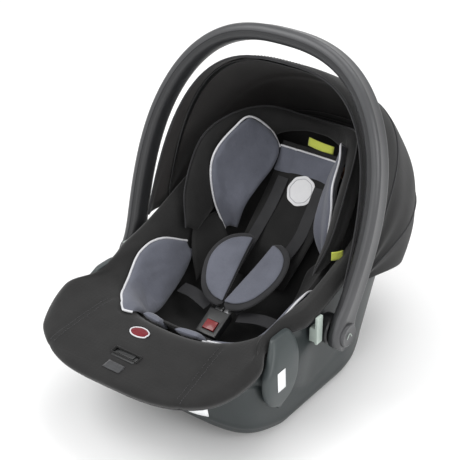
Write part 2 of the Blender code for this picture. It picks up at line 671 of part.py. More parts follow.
def canopy_sheet(name, tilts, half_width, reaches, thickness, colour, start=0.036, count=19, **look):
    """A stretch of the canopy between two tilts, with its thickness on the inside."""
    rows = [canopy_arc(t, half_width, r, start, count) for t, r in zip(tilts, reaches)]
    points = np.array(rows).reshape(-1, 3)
    made = make(name, points, grid_faces(len(rows), count), colour, **look)
    outward = made.data.polygons[len(made.data.polygons) // 2]
    if outward.normal.dot(outward.center + made.location - Vector((0, CANOPY_Y, CANOPY_Z))) < 0:
        made.data.flip_normals()
    thicken(made, thickness)
    return made


def canopy(joint):
    axis = (0, CANOPY_Y, CANOPY_Z)
    rear_tilts = np.radians(np.linspace(37, 108, 9))
    bulge = 0.2790 + 0.0175 * np.sin(np.clip((rear_tilts - 0.95) / 0.62, 0, 1) * math.pi / 2) ** 2
    bulge -= 0.020 * np.clip((rear_tilts - 1.58) / 0.30, 0, 1) ** 2
    canopy_sheet("canopy_rear", rear_tilts, 0.1800, bulge, CANOPY_CLOTH, FABRIC_BLACK, roughness=0.95)
    front_tilts = np.radians(np.linspace(14, 43, 4))
    canopy_sheet("canopy_front", front_tilts, 0.1766, [0.2745] * 4, CANOPY_CLOTH, FABRIC_BLACK,
                 roughness=0.95, origin=axis, parent=joint)
    bow_tilts = BOW_TILT + np.array([-0.026, 0.026])
    canopy_sheet("canopy_bow", bow_tilts, 0.1733, [0.2710] * 2, 0.0018, DARK_PLASTIC, start=0.0185,
                 roughness=0.45, origin=axis, parent=joint)
    for side, word in SIDES:
        turned("canopy_clip_" + word, [(0.1712, 0.015), (0.1770, 0.015), (0.1790, 0.013)], side,
               (CANOPY_Y, CANOPY_Z), DARK_PLASTIC, roughness=0.45, origin=(side * 0.1712, CANOPY_Y, CANOPY_Z),
               parent=joint)


# --- build ----------------------------------------------------------------------------------------
def clear_scene():
    for obj in list(bpy.data.objects):
        bpy.data.objects.remove(obj, do_unlink=True)


def main():
    clear_scene()
    seat_shell()
    foam_liner()
    cover = seat_cover()
    opening = box("adjuster_opening", (0.043, 0.023, 0.060), (0, ADJUSTER_AT[1], 0.160), FABRIC_BLACK)
    cut(cover, opening)
    back_panel()
    head_pillow()
    buckle()
    crotch_pad()
    adjuster()
    harness_yoke()
    handle_joint = pivot("handle_axis", (0, HANDLE_Y, HANDLE_Z))
    canopy_joint = pivot("canopy_axis", (0, CANOPY_Y, CANOPY_Z))
    handle(handle_joint)
    canopy(canopy_joint)
    for side, word in SIDES:
        thigh_pad(side, word)
        head_wing(side, word)
        chest_pad(side, word)
        straps(side, word)
        belt_guide(side, word)
        belt_marker(side, word)
        hub(side, word, handle_joint)


main()
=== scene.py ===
"""The looks of the infant car seat: shell, fabric, padding, harness, handle and canopy.

Metres, +Z up. The foot end points to -Y and the head end to +Y; left is -X and right is +X.
"""

import math

import bmesh
import bpy
import numpy as np
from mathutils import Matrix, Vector, noise
from mathutils.bvhtree import BVHTree


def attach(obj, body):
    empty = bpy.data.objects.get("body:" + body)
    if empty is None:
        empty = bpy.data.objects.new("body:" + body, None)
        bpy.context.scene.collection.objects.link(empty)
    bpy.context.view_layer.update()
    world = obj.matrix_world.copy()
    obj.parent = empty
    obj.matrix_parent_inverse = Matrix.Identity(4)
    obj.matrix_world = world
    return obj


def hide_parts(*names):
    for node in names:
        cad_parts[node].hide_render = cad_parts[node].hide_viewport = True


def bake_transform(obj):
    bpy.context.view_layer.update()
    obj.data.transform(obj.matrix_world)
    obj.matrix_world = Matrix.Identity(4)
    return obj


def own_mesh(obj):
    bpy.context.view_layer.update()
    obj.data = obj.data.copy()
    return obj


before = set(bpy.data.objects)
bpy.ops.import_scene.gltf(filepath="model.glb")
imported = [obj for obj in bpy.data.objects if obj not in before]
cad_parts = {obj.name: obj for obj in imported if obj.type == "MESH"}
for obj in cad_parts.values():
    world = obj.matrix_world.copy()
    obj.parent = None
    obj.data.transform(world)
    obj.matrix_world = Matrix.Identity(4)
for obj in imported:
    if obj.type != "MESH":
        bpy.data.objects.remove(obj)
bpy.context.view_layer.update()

# --- dimensions shared with the frame --------------------------------------------------------------
RIM = ((-0.322, 0.137), (-0.260, 0.136), (-0.200, 0.151), (-0.120, 0.168), (-0.030, 0.188),
       (0.060, 0.224), (0.160, 0.268), (0.262, 0.306))
FOOT_TIP_Y, HALF_WIDTH = -0.3215, 0.170
FLAT_START_Y, FLAT_END_Y = -0.105, 0.065
GUIDE_Y, GUIDE_PINCH, SHELL_PINCH = -0.138, 0.120, 0.096
WELL_MIDDLE = np.array([0.0, -0.030, 0.250])
HEAD_MIDDLE = np.array([0.0, 0.050, 0.280])
HANDLE_AXIS = Vector((0, -0.036, 0.140))
HANDLE_REACH, HANDLE_TILT = 0.379, math.radians(20)
HANDLE_X_PIVOT, HANDLE_X_WIDE, HUB_RADIUS = 0.192, 0.2085, 0.0245
BUTTON_RADIUS, BUTTON_TRAVEL = 0.0175, 0.004
CANOPY_Y, CANOPY_Z = 0.025, 0.190
BOW_TILT = math.radians(16.5)
HARNESS_TILT = math.atan2(0.475, 0.88)
BUCKLE_AT = Vector((0, -0.078, 0.0985))
ALONG = Vector((0, math.cos(HARNESS_TILT), math.sin(HARNESS_TILT)))
OUT = Vector((0, -math.sin(HARNESS_TILT), math.cos(HARNESS_TILT)))
SIDES = ((-1, "left"), (1, "right"))
COLUMNS = 288                           # points round each ring of the fine surfaces
CORD_SIDES = 8
STITCH_LENGTH, STITCH_RADIUS = 0.0028, 0.00035
NEARLY_UP = (0.12, 0.05, 0.99)          # no cord here runs along it
SWELL_FRAMES = 20
CANOPY_ROWS, CANOPY_COLUMNS = 84, 97
WEBBING_THICKNESS = 0.0015
LOOSE_PINCH = 0.045                     # of the cover at the left belt guide


# --- materials --------------------------------------------------------------------------------------
class Nodes:
    """A material's node tree, with a short way to add and join nodes."""

    def __init__(self, name):
        self.material = bpy.data.materials.new(name)
        self.material.use_nodes = True
        self.tree = self.material.node_tree
        self.shader = self.tree.nodes["Principled BSDF"]
        self.place = self.add("ShaderNodeTexCoord").outputs["Object"]

    def add(self, kind, **values):
        node = self.tree.nodes.new(kind)
        for key, value in values.items():
            if key in node.inputs:
                node.inputs[key].default_value = value
            else:
                setattr(node, key, value)
        return node

    def join(self, output, node, socket):
        self.tree.links.new(output, node.inputs[socket])
        return node

    def noise(self, scale, detail):
        node = self.add("ShaderNodeTexNoise", Scale=scale, Detail=detail, Roughness=0.55)
        return self.join(self.place, node, "Vector").outputs["Fac"]

    def threads(self, scale, direction):
        node = self.add("ShaderNodeTexWave", Scale=scale, Distortion=0.6, Detail=1.0)
        node.bands_direction = direction
        return self.join(self.place, node, "Vector").outputs["Fac"]

    def maths(self, operation, first, second):
        node = self.add("ShaderNodeMath", operation=operation)
        for socket, value in enumerate((first, second)):
            if isinstance(value, float):
                node.inputs[socket].default_value = value
            else:
                self.tree.links.new(value, node.inputs[socket])
        return node.outputs[0]

    def ramp(self, factor, dark, light):
        node = self.add("ShaderNodeValToRGB")
        for stop, position, colour in zip(node.color_ramp.elements, (0.3, 0.7), (dark, light)):
            stop.position, stop.color = position, (*colour, 1)
        return self.join(factor, node, "Fac").outputs["Color"]

    def spread(self, factor, low, high):
        node = self.add("ShaderNodeMapRange")
        node.inputs["To Min"].default_value, node.inputs["To Max"].default_value = low, high
        return self.join(factor, node, "Value").outputs["Result"]

    def mix(self, first, share, second, other_share):
        """The first value times its share plus the second times its own."""
        parts = self.maths("MULTIPLY", first, share), self.maths("MULTIPLY", second, other_share)
        return self.maths("ADD", *parts)

    def colour(self, factor, colour, variation):
        dark, light = ([c * (1 + k * variation) for c in colour] for k in (-1, 1))
        self.join(self.ramp(factor, dark, light), self.shader, "Base Color")

    def bump(self, height, strength, distance):
        node = self.add("ShaderNodeBump", Strength=strength, Distance=distance)
        self.join(height, node, "Height")
        self.join(node.outputs["Normal"], self.shader, "Normal")


def fabric(name, colour, thread=0.9, variation=0.30, sheen=0.25, bump=0.45, rough=(0.80, 0.97)):
    """A woven cloth: thread is the pitch of its weave in millimetres, variation how mottled its colour is."""
    made = Nodes(name)
    pitch = 1000 / thread / 20
    warp, weft, depth = (made.threads(pitch, direction) for direction in "XZY")
    weave = made.maths("MAXIMUM", made.maths("MAXIMUM", warp, weft), depth)
    fuzz = made.noise(1100, 2.0)
    cloud = made.noise(26, 4.0)
    made.colour(made.mix(cloud, 0.55, fuzz, 0.45), colour, variation)
    made.join(made.spread(fuzz, *rough), made.shader, "Roughness")
    made.shader.inputs["Sheen Weight"].default_value = sheen
    made.shader.inputs["Sheen Roughness"].default_value = 0.45
    made.shader.inputs["Specular IOR Level"].default_value = 0.25
    made.bump(made.mix(weave, 0.6, fuzz, 0.5), bump, 0.0004)
    return made.material


def plastic(name, colour, rough, grain=650, bump=0.18, variation=0.10, metallic=0.0, coat=0.0):
    """Moulded plastic with a fine spark-eroded grain and slight handling wear, or a metal."""
    made = Nodes(name)
    fine = made.noise(grain, 2.0)
    cloud = made.noise(18, 5.0)
    made.colour(cloud, colour, variation)
    made.join(made.spread(made.mix(fine, 0.5, cloud, 0.5), *rough), made.shader, "Roughness")
    made.shader.inputs["Metallic"].default_value = metallic
    made.shader.inputs["Coat Weight"].default_value = coat
    made.bump(fine, bump, 0.00025)
    return made.material


BLACK = fabric("black_cloth", (0.0165, 0.0163, 0.0163), sheen=0.16)
CANOPY_CLOTH = fabric("canopy_cloth", (0.0120, 0.0120, 0.0124), thread=0.8, sheen=0.10)
CANOPY_INSIDE = fabric("canopy_lining", (0.0260, 0.0238, 0.0232), thread=0.8, sheen=0.15)
LINING = fabric("black_knit", (0.0135, 0.0133, 0.0133), thread=1.1, sheen=0.14)
GREY = fabric("grey_knit", (0.118, 0.124, 0.152), thread=1.3, variation=0.22, sheen=0.22, bump=0.7)
BORDER = fabric("border_cloth", (0.028, 0.028, 0.030), thread=0.8, sheen=0.2)
PIPING = fabric("silver_piping", (0.62, 0.62, 0.64), thread=0.7, variation=0.12, sheen=0.1,
                rough=(0.35, 0.6))
WEBBING = fabric("webbing", (0.020, 0.020, 0.022), thread=1.6, variation=0.35, sheen=0.15,
                 rough=(0.5, 0.7))
THREAD = fabric("thread", (0.050, 0.050, 0.054), thread=0.5, rough=(0.5, 0.7))
SHELL = plastic("shell_plastic", (0.020, 0.026, 0.027), (0.40, 0.55), grain=900, bump=0.30)
HANDLE = plastic("handle_plastic", (0.052, 0.053, 0.056), (0.28, 0.40), grain=700, bump=0.10)
HANDLE_EDGE = plastic("handle_inner_plastic", (0.020, 0.0205, 0.022), (0.34, 0.46))
DARK = plastic("dark_plastic", (0.012, 0.0125, 0.013), (0.30, 0.44))
POD = plastic("guide_plastic", (0.038, 0.047, 0.048), (0.36, 0.48), grain=800, bump=0.15)
PALE = plastic("pale_plastic", (0.40, 0.46, 0.42), (0.35, 0.45))
# painted shade: this red is made much darker than the button's own red, to stand for the shade it lies in under
# the chest pads
RED_IN_PAINTED_SHADE = plastic("red_plastic", (0.20, 0.008, 0.010), (0.25, 0.35), coat=0.3)
STEEL = plastic("steel", (0.55, 0.55, 0.56), (0.22, 0.36), grain=1500, metallic=1.0)
FOAM = plastic("foam", (0.78, 0.78, 0.77), (0.85, 0.95), grain=260, bump=0.6)
LABEL = plastic("label", (0.82, 0.83, 0.84), (0.45, 0.6), variation=0.04)
BADGE = fabric("badge_cloth", (0.74, 0.74, 0.75), thread=0.9, variation=0.06, sheen=0.05)
BADGE_THREAD = fabric("badge_thread", (0.52, 0.52, 0.54), thread=0.6, variation=0.1)
TAB_RED = fabric("red_cloth", (0.15, 0.012, 0.018), thread=0.8)
YELLOW = fabric("yellow_tag", (0.55, 0.60, 0.10), thread=0.8, variation=0.12)
ORANGE = fabric("orange_tag", (0.46, 0.22, 0.14), thread=0.8, variation=0.12)
REFLECTOR = fabric("reflector", (0.042, 0.043, 0.046), thread=0.8, variation=0.3, rough=(0.3, 0.5))


# --- mesh tools -------------------------------------------------------------------------------------
def circle_turns(count):
    """Evenly spaced angles round a circle."""
    return np.linspace(0, 2 * math.pi, count, endpoint=False)


def mesh_object(name, points, faces, material, body, sharp=50):
    mesh = bpy.data.meshes.new(name)
    mesh.from_pydata([tuple(p) for p in points], [], faces)
    work = bmesh.new()
    work.from_mesh(mesh)
    bmesh.ops.recalc_face_normals(work, faces=work.faces)
    work.to_mesh(mesh)
    work.free()
    mesh.shade_smooth()
    mesh.set_sharp_from_angle(angle=math.radians(sharp))
    mesh.materials.append(material)
    made = bpy.data.objects.new(name, mesh)
    bpy.context.scene.collection.objects.link(made)
    if body:
        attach(made, body)
    return made


def grid_object(name, grid, material, body):
    """An open sheet over a grid of points."""
    grid = np.array(grid)
    return mesh_object(name, grid.reshape(-1, 3), grid_faces(*grid.shape[:2]), material, body)


def grid_faces(rows, columns, closed=False):
    last = columns if closed else columns - 1
    return [(r * columns + c, r * columns + (c + 1) % columns,
             (r + 1) * columns + (c + 1) % columns, (r + 1) * columns + c)
            for r in range(rows - 1) for c in range(last)]


def capped_faces(rows, columns):
    """The faces of a closed grid, with one more over each of its ends."""
    ends = [tuple(row * columns + i for i in range(columns)) for row in (0, rows - 1)]
    return grid_faces(rows, columns, closed=True) + ends


def normals(grid, closed=False):
    """Unit normals of a grid of points."""
    along = np.roll(grid, -1, 1) - np.roll(grid, 1, 1) if closed else np.gradient(grid, axis=1)
    found = np.cross(along, np.gradient(grid, axis=0))
    return found / np.maximum(np.linalg.norm(found, axis=2, keepdims=True), 1e-9)


def facing(grid, point):
    """The grid with its columns in the order that turns its faces towards a point."""
    away = np.sum(normals(grid) * (np.array(point) - grid)) < 0
    return grid[:, ::-1] if away else grid


def curve(points, count):
    """Evenly spaced points on a smooth curve through the given ones."""
    points = np.array(points, float)
    padded = np.vstack([2 * points[0] - points[1], points, 2 * points[-1] - points[-2]])
    fine = []
    for a, b, c, d in zip(padded, padded[1:], padded[2:], padded[3:]):
        t = np.linspace(0, 1, 24, endpoint=False)[:, None]
        fine.append(0.5 * (2 * b + (c - a) * t + (2 * a - 5 * b + 4 * c - d) * t ** 2
                           + (3 * b - a - 3 * c + d) * t ** 3))
    fine = np.vstack([*fine, points[-1:]])
    walked = walk(fine)
    places = np.linspace(0, walked[-1], count)
    return np.stack([np.interp(places, walked, fine[:, k]) for k in range(3)], axis=1)


def loft(edges, rows, columns):
    """A grid of points over several lines: each is a row, and the surface runs smoothly through them."""
    lines = np.array([curve(edge, columns) for edge in edges])
    return np.stack([curve(lines[:, c], rows) if len(edges) > 2
                     else lines[0, c] + np.linspace(0, 1, rows)[:, None] * (lines[1, c] - lines[0, c])
                     for c in range(columns)], axis=1)


def walk(path):
    """The distance along a path at each of its points."""
    return np.concatenate([[0], np.cumsum(np.linalg.norm(np.diff(path, axis=0), axis=1))])


def tube(name, path, radius, material, body, closed=False):
    """A round cord, such as piping, along a path."""
    path = np.array(path, float)
    ahead = np.roll(path, -1, 0) - np.roll(path, 1, 0) if closed else np.gradient(path, axis=0)
    ahead /= np.linalg.norm(ahead, axis=1, keepdims=True)
    side = np.cross(ahead, NEARLY_UP)
    side /= np.maximum(np.linalg.norm(side, axis=1, keepdims=True), 1e-9)
    up = np.cross(side, ahead)
    turn = circle_turns(CORD_SIDES)[:, None]
    grid = path[:, None] + radius * (side[:, None] * np.cos(turn) + up[:, None] * np.sin(turn))
    count = len(path)
    if closed:
        faces = [tuple(i % (count * CORD_SIDES) for i in face)
                 for face in grid_faces(count + 1, CORD_SIDES, closed=True)]
    else:
        faces = capped_faces(count, CORD_SIDES)
    return mesh_object(name, grid.reshape(-1, 3), faces, material, body)


def stitches(name, path, body="seat", pitch=0.0042):
    """A row of short stitches along a path, in one piece."""
    walked = walk(path)
    points, faces = [], []
    for start in np.arange(0.001, walked[-1] - STITCH_LENGTH, pitch):
        ends = [np.array([np.interp(s, walked, path[:, k]) for k in range(3)])
                for s in (start, start + STITCH_LENGTH)]
        ahead = (ends[1] - ends[0]) / STITCH_LENGTH
        side = np.cross(ahead, NEARLY_UP)
        side /= np.linalg.norm(side)
        up = np.cross(side, ahead)
        first = len(points)
        for share, grow in ((0.0, 0.4), (0.25, 1.0), (0.75, 1.0), (1.0, 0.4)):
            middle = ends[0] * (1 - share) + ends[1] * share
            points += [middle + STITCH_RADIUS * grow * (side * math.cos(a) + up * math.sin(a))
                       for a in (0, math.pi / 2, math.pi, 3 * math.pi / 2)]
        faces += [tuple(first + i for i in face) for face in capped_faces(4, 4)]
    return mesh_object(name, points, faces, THREAD, body)


def apply_modifiers(obj):
    graph = bpy.context.evaluated_depsgraph_get()
    mesh = bpy.data.meshes.new_from_object(obj.evaluated_get(graph))
    obj.modifiers.clear()
    old, obj.data = obj.data, mesh
    bpy.data.meshes.remove(old)
    mesh.shade_smooth()


def thicken(obj, thickness, offset=0):
    solid = obj.modifiers.new("Thickness", "SOLIDIFY")
    solid.thickness, solid.offset, solid.use_even_offset = thickness, offset, True
    apply_modifiers(obj)


def cut(obj, work, sharp):
    """Takes the shape in a bmesh away from a piece."""
    mesh = bpy.data.meshes.new("cutter")
    work.to_mesh(mesh)
    work.free()
    cutter = bpy.data.objects.new("cutter", mesh)
    bpy.context.scene.collection.objects.link(cutter)
    hole = obj.modifiers.new("Cut", "BOOLEAN")
    hole.operation, hole.object, hole.solver = "DIFFERENCE", cutter, "EXACT"
    apply_modifiers(obj)
    obj.data.set_sharp_from_angle(angle=math.radians(sharp))
    bpy.data.objects.remove(cutter, do_unlink=True)


def inflate(obj, pinned, cap):
    """Swells a closed pad with the cloth solver, holding its seam, and keeps each point within cap."""
    before = np.array([v.co for v in obj.data.vertices])
    group = obj.vertex_groups.new(name="seam")
    group.add([int(i) for i in pinned], 1.0, "REPLACE")
    cloth = obj.modifiers.new("Cloth", "CLOTH")
    cloth.settings.use_pressure = True
    cloth.settings.uniform_pressure_force = 4.0
    cloth.settings.vertex_group_mass = "seam"
    cloth.settings.tension_stiffness = cloth.settings.compression_stiffness = 12.0
    cloth.settings.bending_stiffness = 0.3
    cloth.settings.quality = 5
    cloth.settings.effector_weights.gravity = 0
    cloth.collision_settings.use_collision = False
    for step in range(1, SWELL_FRAMES + 1):
        bpy.context.scene.frame_set(step)
    graph = bpy.context.evaluated_depsgraph_get()
    after = np.array([v.co for v in obj.evaluated_get(graph).data.vertices])
    obj.modifiers.clear()
    bpy.context.scene.frame_set(1)
    move = after - before
    far = np.linalg.norm(move, axis=1, keepdims=True)
    move = move * cap * np.tanh(far / cap) / np.maximum(far, 1e-9)
    for vertex, place in zip(obj.data.vertices, before + move):
        vertex.co = place


def pad(name, grid, rise, sink, material, cap):
    """A sewn pad. Its seam is the grid's border, its face rises over the grid and its back sinks under it."""
    rows, columns = grid.shape[:2]
    v, u = np.meshgrid(np.linspace(-1, 1, columns), np.linspace(-1, 1, rows))
    crown = (((1 - np.abs(u) ** 2.6) * (1 - np.abs(v) ** 2.6)) ** 0.42)[..., None]
    out = normals(grid)
    front, rear = grid + out * rise * crown, grid - out * sink * crown
    points = np.concatenate([front.reshape(-1, 3), rear[1:-1, 1:-1].reshape(-1, 3)])
    faces = grid_faces(rows, columns)
    inner = np.arange(rows * columns).reshape(rows, columns)
    inner[1:-1, 1:-1] = rows * columns + np.arange((rows - 2) * (columns - 2)).reshape(rows - 2, -1)
    faces += [tuple(int(i) for i in (inner[r + 1, c], inner[r + 1, c + 1], inner[r, c + 1], inner[r, c]))
              for r in range(rows - 1) for c in range(columns - 1)]
    made = mesh_object(name, points, faces, material, "seat")
    edge = [r * columns + c for r in range(rows) for c in range(columns)
            if r in (0, rows - 1) or c in (0, columns - 1)]
    inflate(made, edge, cap)
    smooth = made.modifiers.new("Smooth", "SUBSURF")
    smooth.levels = smooth.render_levels = 1
    apply_modifiers(made)
    return made


def lying_on(grid, cloth, depth):
    """The grid moved off the cover's inside wherever it would lie nearer than depth to it, and eased."""
    found = grid.copy()
    for index in np.ndindex(grid.shape[:2]):
        place, normal, _, _ = cloth.find_nearest(Vector(grid[index]))
        if normal.dot(Vector(WELL_MIDDLE) - place) < 0:
            normal = -normal
        above = (Vector(grid[index]) - place).dot(normal)
        found[index] = np.array(place + normal * max(above, depth))
    for _ in range(3):
        found[1:-1, 1:-1] = (found[:-2, 1:-1] + found[2:, 1:-1] + found[1:-1, :-2] + found[1:-1, 2:]) / 4
    return found


# --- the seat's surfaces, as the frame has them -----------------------------------------------------
def rocker(y):
    ahead, behind = np.maximum(FLAT_START_Y - y, 0), np.maximum(y - FLAT_END_Y, 0)
    return 0.31 * ahead ** 2 / (ahead + 0.006) + 0.55 * behind ** 2 / (behind + 0.03)


def rim_height(y):
    at, high = np.array(RIM).T
    slope = np.gradient(high, at)
    k = np.clip(np.searchsorted(at, y) - 1, 0, len(at) - 2)
    step = at[k + 1] - at[k]
    t = (y - at[k]) / step
    return ((2 * t ** 3 - 3 * t ** 2 + 1) * high[k] + (t ** 3 - 2 * t ** 2 + t) * step * slope[k]
            + (3 * t ** 2 - 2 * t ** 3) * high[k + 1] + (t ** 3 - t ** 2) * step * slope[k + 1])


def ring(front, rear, half_width, heights=(0, 0, 0), square=3.1, tail=2.8, base=None):
    """A closed ring round the seat. heights are at its front, middle and rear, above base if there is one."""
    angle = circle_turns(COLUMNS)
    along = (1 - np.cos(angle)) / 2
    y = front + (rear - front) * along
    ahead, behind = np.maximum(0.34 - along, 0) / 0.34, np.maximum(along - 0.55, 0) / 0.45
    wide = (1 - ahead ** square) ** (1 / square) * (1 - behind ** tail) ** (1 / tail)
    a, b, c = heights
    z = a * (1 - 2 * along) * (1 - along) + 4 * b * along * (1 - along) + c * along * (2 * along - 1)
    return np.stack([half_width * wide * np.sign(np.sin(angle)), y, z + (base(y) if base else 0)], axis=1)


def rim_ring(front, rear, half_width, by, pinch=GUIDE_PINCH, far_pinch=LOOSE_PINCH):
    """A ring that follows the rim. The cloth is looser over the belt guide on the left."""
    points = ring(front, rear, half_width, (by,) * 3, base=rim_height)
    amount = np.where(points[:, 0] < 0, min(pinch, far_pinch), pinch)
    points[:, 0] *= 1 - amount * np.exp(-((points[:, 1] - GUIDE_Y) / 0.042) ** 4)
    return points


def between(rings, each):
    """Rows of a smooth surface through the rings, with each rows from one to the next."""
    rings = np.array(rings)
    padded = np.concatenate([2 * rings[:1] - rings[1:2], rings, 2 * rings[-1:] - rings[-2:-1]])
    rows = []
    for a, b, c, d in zip(padded, padded[1:], padded[2:], padded[3:]):
        for t in np.linspace(0, 1, each, endpoint=False):
            tense = 0.42
            m0, m1 = tense * (c - a), tense * (d - b)
            rows.append((2 * t ** 3 - 3 * t ** 2 + 1) * b + (t ** 3 - 2 * t ** 2 + t) * m0
                        + (3 * t ** 2 - 2 * t ** 3) * c + (t ** 3 - t ** 2) * m1)
    return np.array([*rows, rings[-1]])


def shell_rings():
    return [
        rim_ring(-0.298, 0.238, 0.1540, -0.004, SHELL_PINCH, SHELL_PINCH),
        rim_ring(-0.290, 0.241, 0.1545, -0.016, SHELL_PINCH, SHELL_PINCH),
        ring(-0.226, 0.258, 0.1620, (0.112, 0.140, 0.200), 5, 2.3),
        ring(-0.217, 0.252, 0.1600, (0.080, 0.085, 0.160), 6, 2.0),
        ring(-0.206, 0.236, 0.1520, (0.018,) * 3, 6, 1.8, rocker),
        ring(-0.194, 0.221, 0.1400, (0.0,) * 3, 6, 1.8, rocker),
        ring(-0.179, 0.201, 0.1180, (0.0,) * 3, 5, 1.8, rocker),
        ring(-0.164, 0.176, 0.0980, (0.022,) * 3, 4, 1.8, rocker),
        ring(-0.060, 0.100, 0.0450, (0.040,) * 3, 3.1),
    ]


def well_rings():
    return [
        ring(-0.205, 0.228, 0.1365, (0.160, 0.194, 0.302), 2.6),
        ring(-0.160, 0.150, 0.115, (0.115, 0.115, 0.190), 2.6),
        ring(-0.125, 0.010, 0.092, (0.078, 0.074, 0.082), 2.6),
        ring(-0.100, -0.030, 0.035, (0.070,) * 3, 2.4),
    ]


def cover_rings():
    return [
        rim_ring(-0.3065, 0.2480, 0.1625, -0.011),
        rim_ring(-0.3165, 0.2570, 0.1680, -0.007),
        rim_ring(FOOT_TIP_Y, 0.2610, HALF_WIDTH, 0.001),
        rim_ring(-0.3175, 0.2570, 0.1675, 0.008),
        rim_ring(-0.2970, 0.2420, 0.1570, 0.013),
        *well_rings(),
    ]


def closed_surface(name, rows, material, thickness, offset=-1):
    count = rows.shape[1]
    faces = grid_faces(len(rows), count, closed=True)
    faces.append(tuple((len(rows) - 1) * count + i for i in range(count)))
    made = mesh_object(name, rows.reshape(-1, 3), faces, material, "seat", sharp=70)
    thicken(made, thickness, offset)
    return made


def outwards(rows):
    """Unit normals of the rows that point away from the middle of the seat."""
    found = normals(rows, closed=True)
    middle = rows.reshape(-1, 3).mean(axis=0)
    return -found if np.sum(found * (rows - middle)) < 0 else found


# --- shell ------------------------------------------------------------------------------------------
def smooth_step(value, low, high):
    share = np.clip((value - low) / (high - low), 0, 1)
    return share * share * (3 - 2 * share)


def shell():
    """The moulded tub, with a creased flank panel behind the foot and a bead above the runners."""
    rows = between(shell_rings(), 9)
    out = outwards(rows)
    x, y, z = rows[..., 0], rows[..., 1], rows[..., 2]
    flank = smooth_step(np.abs(x), 0.10, 0.14)
    bend = np.sqrt(1 + ((y + 0.062) / 0.0022) ** 2) - 1
    crease = 0.044 + 0.0015 * bend * np.where(y < -0.062, 0.92, 0.35)
    boss = smooth_step(z, crease - 0.006, crease + 0.020) * (1 - smooth_step(z, 0.135, 0.172))
    boss *= np.exp(-(np.abs(y + 0.140) / 0.062) ** 4)
    groove = smooth_step(y, -0.215, -0.19) * (1 - smooth_step(y, 0.04, 0.09))
    groove *= np.exp(-((z - crease) / 0.0032) ** 2)
    bead = np.exp(-((z - rocker(y) - 0.018) / 0.0035) ** 2)
    rows = rows + out * (flank * (0.0100 * boss - 0.0016 * groove) + 0.0012 * bead)[..., None]
    rows[..., 2] = np.maximum(rows[..., 2], 0)
    made = closed_surface("shell_tub", rows, SHELL, 0.0032)
    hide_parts("seat_shell")
    for side, word in SIDES:
        path = [(side * 0.098, -0.120, 0.0235), (side * 0.098, 0.0, 0.0225), (side * 0.090, 0.110, 0.032)]
        tube("runner_bead_" + word, curve(path, 24), 0.0016, SHELL, "seat")


def liner():
    edge, side, *floor = well_rings()
    rows = between([0.6 * edge + 0.4 * side, side, *floor], 5)
    inward = -outwards(rows)
    made = closed_surface("liner_shell", rows - inward * 0.0037, FOAM, 0.009, offset=1)
    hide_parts("foam_liner")


def belt_guide(side, word):
    """A smooth boss on the flank, with a hooked top that the vehicle's belt passes under."""
    levels = [   # height, front y, rear y, inner x, outer x
        (0.068, -0.150, -0.138, 0.1600, 0.1668), (0.085, -0.174, -0.124, 0.1600, 0.1738),
        (0.110, -0.187, -0.116, 0.1600, 0.1782), (0.135, -0.188, -0.113, 0.1600, 0.1777),
        (0.150, -0.177, -0.111, 0.1580, 0.1745), (0.165, -0.165, -0.112, 0.1540, 0.1685),
        (0.1765, -0.156, -0.117, 0.1520, 0.1615),
    ]
    turn = circle_turns(40)
    round_ = np.array([np.cos(turn), np.sin(turn)])
    squared = np.abs(round_) ** 0.55 * np.sign(round_)
    rings = []
    for z, front, rear, inner, outer in levels:
        rings.append(np.stack([side * ((inner + outer) / 2 + (outer - inner) / 2 * squared[1]),
                               (front + rear) / 2 + (rear - front) / 2 * squared[0],
                               np.full(len(turn), z)], axis=1))
    low, high = rings[0].mean(0), rings[-1].mean(0)
    rings.insert(0, low + (rings[0] - low) * 0.7 + np.array([0, 0, -0.004]))
    rings.append(high + (rings[-1] - high) * 0.72 + np.array([0, 0, 0.0014]))
    rows = between(rings, 5)
    faces = capped_faces(*rows.shape[:2])
    made = mesh_object("guide_block_" + word, rows.reshape(-1, 3), faces, POD, "seat")
    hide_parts("belt_guide_" + word)
    patch = [[(side * (0.1790 - 0.045 * max(z - 0.112, 0)), y, z) for y in np.linspace(-0.170, -0.152, 5)]
             for z in np.linspace(0.110, 0.140, 9)]
    label = grid_object("side_sticker_" + word, patch, LABEL, "seat")
    thicken(label, 0.0005)


# --- cover ------------------------------------------------------------------------------------------
def lip_seam(side, y):
    """How far out the seam along each side of the lip runs."""
    return side * (0.100 + 0.10 * np.clip(-0.19 - y, 0, 1))


